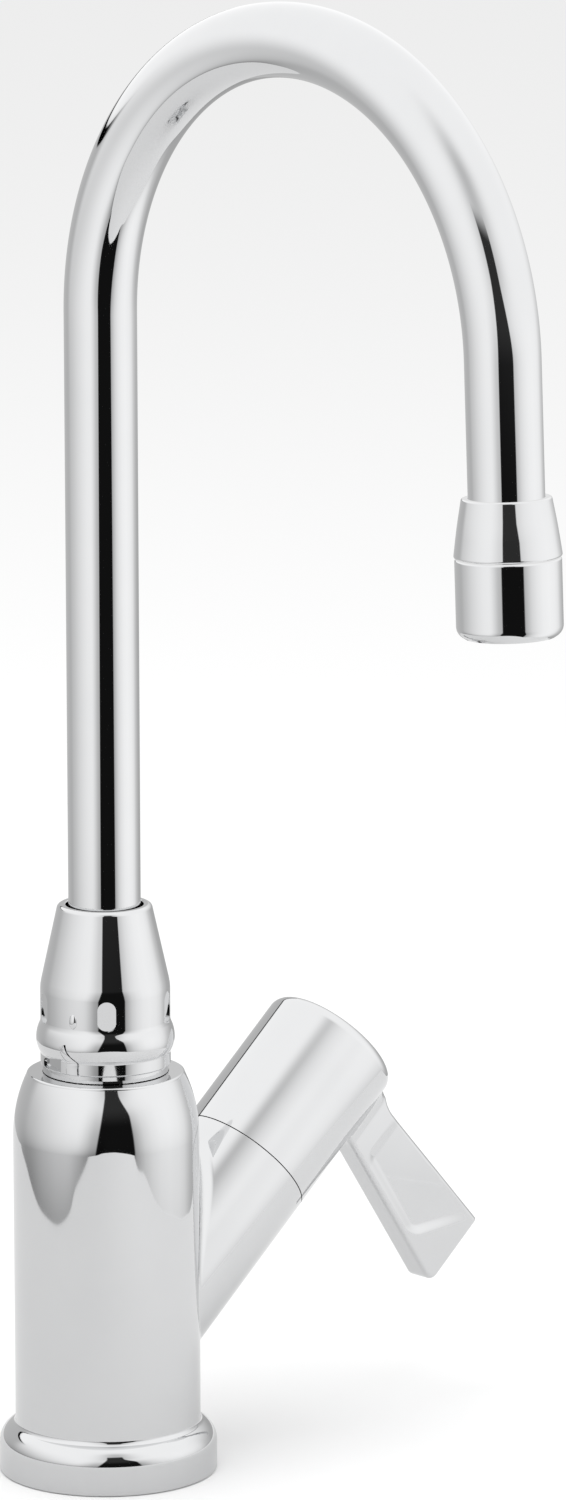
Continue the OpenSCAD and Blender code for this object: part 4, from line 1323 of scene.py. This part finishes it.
def gooseneckTree():
    inputs = {
        "Radius": "Float",
        "Wall": "Float",
        "Bend Radius": "Float",
        "Bend Sweep": "Float",
        "Foot": "Float",
        "Bend Height": "Float",
        "Tail": "Float",
        "Bend Steps": "Int",
        "Sides": "Int",
        "Material": "Material",
    }
    tree, given = newTree("gooseneck", inputs)
    steps, bend, height = (given[name] for name in ("Bend Steps", "Bend Radius", "Bend Height"))
    # The line's first point is the foot, its last one is the tail's end, and the bend has the rest
    line = steps.node("GeometryNodeMeshLine", Count=steps + 3.0)
    index = steps.node("GeometryNodeInputIndex")
    share = index.node("ShaderNodeClamp", Value=(index - 1.0) / steps)
    angle = share * given["Bend Sweep"]
    sine, cosine = (angle.maths(kind, angle) for kind in ("SINE", "COSINE"))
    drop = index.maths("LESS_THAN", index, 0.5) * (height - given["Foot"])
    tail = index.maths("GREATER_THAN", index, steps + 1.5) * given["Tail"]
    y = cosine * bend - bend - tail * sine
    z = sine * bend + height + tail * cosine - drop
    place = index.node("ShaderNodeCombineXYZ", Y=y, Z=z)
    laid = line.node("GeometryNodeSetPosition", Geometry=line, Position=place)
    path = laid.node("GeometryNodeMeshToCurve", Mesh=laid)
    circle = {"Resolution": given["Sides"], "Radius": given["Radius"]}
    ring = path.node("GeometryNodeCurvePrimitiveCircle", **circle)
    wall = path.node("GeometryNodeCurveToMesh", Curve=path, Profile_Curve=ring)
    inward = {"Offset_Scale": given["Wall"] * -1.0, "Individual": False}
    inside = wall.node("GeometryNodeExtrudeMesh", Mesh=wall, **inward)
    turnedIn = inside.node("GeometryNodeFlipFaces", Mesh=inside)
    both = wall.node("GeometryNodeJoinGeometry", Geometry=wall)
    tree.links.new(turnedIn.socket, both.socket.node.inputs["Geometry"])
    endTree(given, both.node("GeometryNodeMergeByDistance", Geometry=both, Distance=weldStep))
    return tree


def makeGooseneck(sizes):
    values = {
        "Radius": sizes["tubeRadius"],
        "Wall": sizes["wall"],
        "Bend Radius": sizes["bendRadius"],
        "Bend Sweep": math.pi - lean,
        "Foot": sizes["foot"],
        "Bend Height": bendHeight,
        "Tail": sizes["tailLength"] + sizes["socketDepth"],
        "Bend Steps": sizes["bendSteps"],
        "Sides": sizes["sides"],
        "Material": chrome,
    }
    piece = grown("gooseneck", gooseneckTree(), values)
    piece.data.shade_smooth()
    piece.data.set_sharp_from_angle(angle=math.radians(sizes["sharpTurn"]))
    return piece


finished(makeGooseneck(gooseneck), chrome, "spout", "chrome", "spout_tube")

# Outlet: a cone on the tube's end and the aerator's housing below it

outletSizes = {
    "coneLength": 0.0147,
    "coneLip": 0.0112,
    "coneRadius": 0.0135,
    "coneSwell": 0.00015,
    "edge": 0.0005,
    "swellRound": 0.12,
    "coneBore": 0.008,
    "socket": 0.0096,
    "gap": 0.0004,
    "neck": 0.011,
    "neckLength": 0.006,
    "housingRadius": 0.01326,
    "housingBore": 0.0111,
    "housingEdge": 0.0004,
    "housingLength": 0.0196,
    "housingRound": 0.003,
    "lipTurn": 60,
    "lipWidth": 0.0009,
    "lipRound": 0.0003,
    "mouth": 0.0096,
    "mouthEdge": 0.0002,
    "mouthDepth": 0.0016,
    "columns": 160,
}


def makeAdapter(sizes):
    skin = Skin()
    length, depth = sizes["coneLength"], gooseneck["socketDepth"]
    bore, socket, neck = sizes["coneBore"], sizes["socket"], sizes["neck"]
    top = (sizes["coneLip"], 0.0)
    end = (sizes["coneRadius"], length)
    middle = ((top[0] + end[0]) / 2 + sizes["coneSwell"], length / 2)
    neckEnd = length + sizes["neckLength"]
    outline = Outline(bore, neckEnd)
    outline.line(bore, depth).line(socket, depth).line(socket, 0.0)
    outline.corner(*top, sizes["edge"], *middle)
    outline.corner(*middle, sizes["swellRound"], *end)
    outline.corner(*end, sizes["edge"], neck, length)
    outline.line(neck, length).line(neck, neckEnd).line(bore, neckEnd)
    turned(skin, outline, outletSeat, sizes["columns"])
    return skin.make("outletCone")


def makeHousing(sizes):
    skin = Skin()
    start = sizes["coneLength"] + sizes["gap"]
    end = start + sizes["housingLength"]
    outer, bend, bore = sizes["housingRadius"], sizes["housingRound"], sizes["housingBore"]
    roundR, roundZ = outer - bend, end - bend
    lip = math.radians(sizes["lipTurn"])
    lipR, lipZ = roundR + bend * math.cos(lip), roundZ + bend * math.sin(lip)
    mouth, mouthZ = sizes["mouth"], end - sizes["mouthDepth"]
    outline = Outline(bore, start)
    outline.corner(outer, start, sizes["housingEdge"], outer, roundZ)
    outline.line(outer, roundZ).arc(roundR, roundZ, lipR, lipZ, 5)
    outline.corner(roundR + sizes["lipWidth"], end, sizes["lipRound"], mouth, end)
    outline.corner(mouth, end, sizes["mouthEdge"], mouth, mouthZ)
    outline.line(mouth, mouthZ).line(bore, mouthZ).line(bore, start)
    turned(skin, outline, outletSeat, sizes["columns"])
    return skin.make("aeratorShell")


finished(makeAdapter(outletSizes), chrome, "spout", "chrome", "outlet_adapter")
finished(makeHousing(outletSizes), chrome, "spout", "chrome", "aerator_housing")

# Stage: a pale table top, a lamp above it, soft boxes that only metal sees, and white all round

# The table top's edge round the tap, forward and to the right of the camera's line
tableEdge = [
    (-0.421, -0.193),
    (-0.203, -0.301),
    (-0.087, -0.322),
    (0.060, -0.293),
    (0.163, -0.245),
    (0.227, -0.213),
    (0.285, -0.194),
    (0.381, -0.107),
    (0.414, -0.069),
    (0.480, -0.017),
    (0.497, 0.086),
    (0.442, 0.161),
    (0.366, 0.206),
    (0.290, 0.226),
    (0.236, 0.264),
    (0.154, 0.282),
    (0.017, 0.297),
    (-0.104, 0.268),
    (-0.191, 0.230),
    (-0.420, 0.170),
]
cameraView = {
    "turn": -41.671,
    "tilt": 11.346,
    "roll": 0.145,
    "distance": 2.03039,
    "lens": 186.06,
    "aimRight": 0.047027,
    "aimUp": 0.194585,
    "sensor": 36,
    "far": 50,
}
viewTurn = math.radians(cameraView["turn"])
viewForward = Vector((math.sin(viewTurn), -math.cos(viewTurn), 0))
viewRight = Vector((math.cos(viewTurn), math.sin(viewTurn), 0))
tableSizes = {
    "drop": 0.0001,
    "floorDrop": 0.0004,
    "floorHalf": 3,
    # Painted shade on the table as the metal mirrors it: darker on the left, lighter on the right
    "mirrorShadedLeft": (0.78, 0.78, 0.78, 1),
    "mirrorLitRight": (0.88, 0.88, 0.88, 1),
    "mirrorShadeEdges": (-0.1, 0.25),
    "seen": (0.95, 0.95, 0.95, 1),
    "roughness": 0.9,
}


def tableCorners(between=8):
    # The table's edge as a closed curve, with a number of steps between each two of its points
    points = np.array(tableEdge)
    made = []
    for i in range(len(points)):
        a, b, c, d = (points[(i + k) % len(points)] for k in (-1, 0, 1, 2))
        for t in np.arange(between) / between:
            bend = (2 * a - 5 * b + 4 * c - d) * t**2 + (3 * b - a - 3 * c + d) * t**3
            forward, right = (2 * b + (c - a) * t + bend) / 2
            made.append(viewForward * forward + viewRight * right)
    return made


def staged(piece, *hidden):
    # A piece of the studio, kept from some kinds of rays
    for rays in hidden:
        setattr(piece, "visible_" + rays, False)
    piece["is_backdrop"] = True


def makeTable(values):
    # The camera sees the table paler than the metal's mirror images of it. In those mirror images
    # its colour holds painted shade: darker to the left and lighter to the right, as if a lamp lit
    # it from the right
    material, place = newMaterial("paleTable")
    side = place.along(*viewRight).smooth(*values["mirrorShadeEdges"])
    paintedMirrorShade = side.mixed(values["mirrorShadedLeft"], values["mirrorLitRight"])
    pale = place.node("ShaderNodeLightPath").mixed(paintedMirrorShade, values["seen"])
    painted(material, Base_Color=pale, Roughness=values["roughness"], Specular_IOR_Level=0.0)
    corners = [tuple(corner) for corner in tableCorners()]
    table = placed("tableTop", meshOf("tableTop", corners, [list(range(len(corners)))]))
    table.location.z = -values["drop"]
    table.data.materials.append(material)
    staged(table)

    # A wider floor that only the camera sees, so that no view looks past the table's edge
    half = values["floorHalf"]
    square = [(x * half, y * half, 0) for x, y in ((-1, -1), (1, -1), (1, 1), (-1, 1))]
    floor = placed("wideFloor", meshOf("wideFloor", square, [[0, 1, 2, 3]]))
    floor.location.z = -values["floorDrop"]
    floor.data.materials.append(material)
    staged(floor, "diffuse", "glossy", "transmission", "shadow")


def makeCamera(view):
    turn, tilt, roll = (math.radians(view[name]) for name in ("turn", "tilt", "roll"))
    back = viewForward * math.cos(tilt) + Vector((0, 0, math.sin(tilt)))
    up = back.cross(viewRight)
    right = viewRight * math.cos(roll) - up * math.sin(roll)
    upward = viewRight * math.sin(roll) + up * math.cos(roll)
    aim = viewRight * view["aimRight"] + Vector((0, 0, view["aimUp"]))
    lens = bpy.data.cameras.new("camera")
    lens.lens = view["lens"]
    lens.sensor_width = view["sensor"]
    lens.clip_end = view["far"]
    camera = placed("camera", lens)
    place = aim + back * view["distance"]
    rows = [[right[k], upward[k], back[k], place[k]] for k in range(3)] + [[0, 0, 0, 1]]
    camera.matrix_world = Matrix(rows)
    bpy.context.scene.camera = camera


roomLight = {
    "ambient": 0.88,
    "boxDistance": 0.8,
    "overhead": 1.27,
    "overheadEdges": (0.1, 0.75),
    "leftDim": 0.6,
    "leftDimEdges": (-150, -100, -5, 5),
    "rightDim": 0.22,
    "rightDimEdges": (5, 40, 120, 160),
    "dimRise": 0.042,
    "screenRise": 0.252,
    "gapLeft": -11.0,
    "gapRight": 36.0,
    "gapOutside": 1.5,
    "gapInside": 0.5,
    "gapLeftLean": 11.0,
    "gapRightLean": 7.0,
    "gapRightClose": 10.0,
    "leanStart": -0.1,
    "leanSpan": 0.7,
    "closeEdges": (0.35, 0.65),
    "leanFade": (60, 120),
    "gapDark": 0.008,
    "gapGlow": 0.03,
    "glowEdges": (0.25, 0.5),
    "gapEndEdges": (0.72, 0.8),
    "backEdges": (-128, -108),
    "backLow": 0.62,
    "frameHeight": 0.48,
    "frameWidth": 0.035,
    "frameSoft": 0.004,
    "frameFade": 0.03,
    "stripeMiddle": 12.0,
    "stripeWidth": 22.0,
    "stripeDepth": 0.55,
    "stripeEdges": (0.45, 0.7, 0.86, 0.99),
}
# How bright the studio is round the tap, by its bearing in degrees
studioRing = [
    (-180, 0.45),
    (-150, 0.53),
    (-120, 0.66),
    (-99, 0.82),
    (-81, 1.0),
    (-65, 1.13),
    (-50, 1.22),
    (-38, 1.24),
    (-33, 1.18),
    (-26, 0.98),
    (-19, 0.73),
    (-12, 0.62),
    (-10.5, 0.03),
    (0, 0.008),
    (7, 0.014),
    (14, 0.006),
    (35.5, 0.008),
    (37, 0.52),
    (43, 0.74),
    (50, 0.98),
    (60, 1.16),
    (72, 1.28),
    (86, 1.32),
    (102, 1.26),
    (113, 1.13),
    (126, 0.8),
    (142, 0.56),
    (160, 0.48),
    (180, 0.45),
]


def bearing(way):
    # Degrees round the tap from the camera's side, positive to its right
    return way.maths("ARCTAN2", way.along(*viewRight), way.along(*viewForward)) * (180 / math.pi)


def ringLevel(around):
    # The studio's ring as a colour ramp over a whole turn
    ring = around.node("ShaderNodeValToRGB", Fac=(around + 180) / 360)
    ramp = ring.socket.node.color_ramp
    brightest = max(level for angle, level in studioRing)
    while len(ramp.elements) < len(studioRing):
        ramp.elements.new(0.5)
    for element, (angle, level) in zip(ramp.elements, studioRing):
        element.position = (angle + 180) / 360
        element.color = (level / brightest,) * 3 + (1,)
    return ring * brightest


def studioLevel(way, values):
    # Two tall soft boxes with a dark gap between them, and a bright ceiling with a soft stripe
    height = way.along(0, 0, 1)
    around = bearing(way)
    left, right = values["gapLeft"], values["gapRight"]
    # The gap closes in with height, and the boxes' edges move with it
    climb = way.maths("MAXIMUM", height - values["leanStart"], 0)
    climb = way.maths("MINIMUM", climb, values["leanSpan"]) / values["leanSpan"]
    onLeft = way.maths("LESS_THAN", around, (left + right) / 2)
    close = height.smooth(*values["closeEdges"]) * values["gapRightClose"]
    rightShift = climb * values["gapRightLean"] + close
    shift = rightShift - onLeft * (rightShift + climb * values["gapLeftLean"])
    near = 1 - way.maths("ABSOLUTE", around).smooth(*values["leanFade"])
    leaned = around + shift * near
    boxes = ringLevel(leaned)
    boxes = boxes + height.smooth(*values["overheadEdges"]) * (values["overhead"] - boxes)
    # Far round to the left, a dimmer wall with a dark frame below the ceiling
    behind = 1 - around.smooth(*values["backEdges"])
    soft, low = values["frameSoft"], values["frameHeight"]
    high = low + values["frameWidth"]
    brighter = height.smooth(low, high + values["frameFade"])
    back = values["backLow"] + brighter * (values["overhead"] - values["backLow"])
    back = back * (1 - height.between(low - soft, low + soft, high - soft, high + soft))
    boxes = boxes + behind * (back - boxes)
    outside, inside = values["gapOutside"], values["gapInside"]
    inGap = leaned.between(left - outside, left + inside, right - inside, right + outside)
    dark = inGap * (1 - height.smooth(*values["gapEndEdges"]))
    glow = height.smooth(*values["glowEdges"]) * values["gapGlow"] + values["gapDark"]
    off = (around - values["stripeMiddle"]) / values["stripeWidth"]
    stripe = way.maths("EXPONENT", off * off * -1) * height.between(*values["stripeEdges"])
    seen = boxes - stripe * values["stripeDepth"]
    return seen + dark * (glow - seen)


def makeScreen(values):
    # A graded screen along the table's edge dims the boxes' lower ends, the left one more
    corners = tableCorners()
    count = len(corners)
    points = [tuple(c) for c in corners] + [(c.x, c.y, values["screenRise"]) for c in corners]
    faces = [[k, (k + 1) % count, count + (k + 1) % count, count + k] for k in range(count)]
    material, place = newMaterial("gradedScreen", bare=True)
    around = bearing(place)
    left = around.between(*values["leftDimEdges"]) * values["leftDim"]
    right = around.between(*values["rightDimEdges"]) * values["rightDim"]
    sunk = place.maths("EXPONENT", place.along(0, 0, -1) / values["dimRise"])
    clear = 1 - sunk * (left + right)
    tint = place.node("ShaderNodeCombineXYZ", X=clear, Y=clear, Z=clear)
    place.node("ShaderNodeBsdfTransparent", Color=tint).ends("ShaderNodeOutputMaterial")
    screen = placed("gradedScreen", meshOf("gradedScreen", points, faces))
    screen.data.materials.append(material)
    staged(screen, "camera", "diffuse", "transmission", "shadow")


def makeRoom(values):
    # Only polished metal sees the soft boxes: they stand round the tap at their own distance
    white = (1, 1, 1, 1)
    material, place = newMaterial("softBoxes", bare=True)
    material.cycles.emission_sampling = "NONE"
    way = place.node("ShaderNodeVectorMath", {"operation": "NORMALIZE"}, i0=place)
    glow = way.node("ShaderNodeEmission", Color=white, Strength=studioLevel(way, values))
    glow.ends("ShaderNodeOutputMaterial")
    boxes = placed("softBoxes", ballMesh("softBoxes", 96, 48, values["boxDistance"]))
    boxes.data.materials.append(material)
    staged(boxes, "camera", "diffuse", "transmission", "shadow")

    world = bpy.data.worlds.new("studio")
    bpy.context.scene.world = world
    world.use_nodes = True
    tree = world.node_tree
    tree.nodes.clear()
    camera = Wire(tree, tree.nodes.new("ShaderNodeLightPath").outputs["Is Camera Ray"])
    level = camera + (1 - camera) * values["ambient"]
    shine = camera.node("ShaderNodeBackground", Color=white, Strength=level)
    shine.ends("ShaderNodeOutputWorld")


topLamp = {
    "forward": 0.3,
    "right": -0.1,
    "height": 1.8,
    "size": 2.0,
    "power": 14,
    "aim": 0.15,
}


def makeLamp(name, values):
    light = bpy.data.lights.new(name, "AREA")
    light.shape = "DISK"
    light.size = values["size"]
    light.energy = values["power"]
    lamp = placed(name, light)
    lamp.location = viewForward * values["forward"] + viewRight * values["right"]
    lamp.location.z = values["height"]
    aim = Vector((0, 0, values["aim"])) - lamp.location
    lamp.rotation_euler = aim.to_track_quat("-Z", "Y").to_euler()
    staged(lamp, "glossy", "camera")


makeTable(tableSizes)
makeCamera(cameraView)
makeRoom(roomLight)
makeScreen(roomLight)
makeLamp("topLamp", topLamp)
# The studio's mirror images show nothing of the spout, so it keeps out of the other pieces' shine
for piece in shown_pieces():
    if body_of(piece) == ["spout"]:
        piece.visible_glossy = False
bpy.context.scene.view_settings.view_transform = "Standard"
print("stage set")
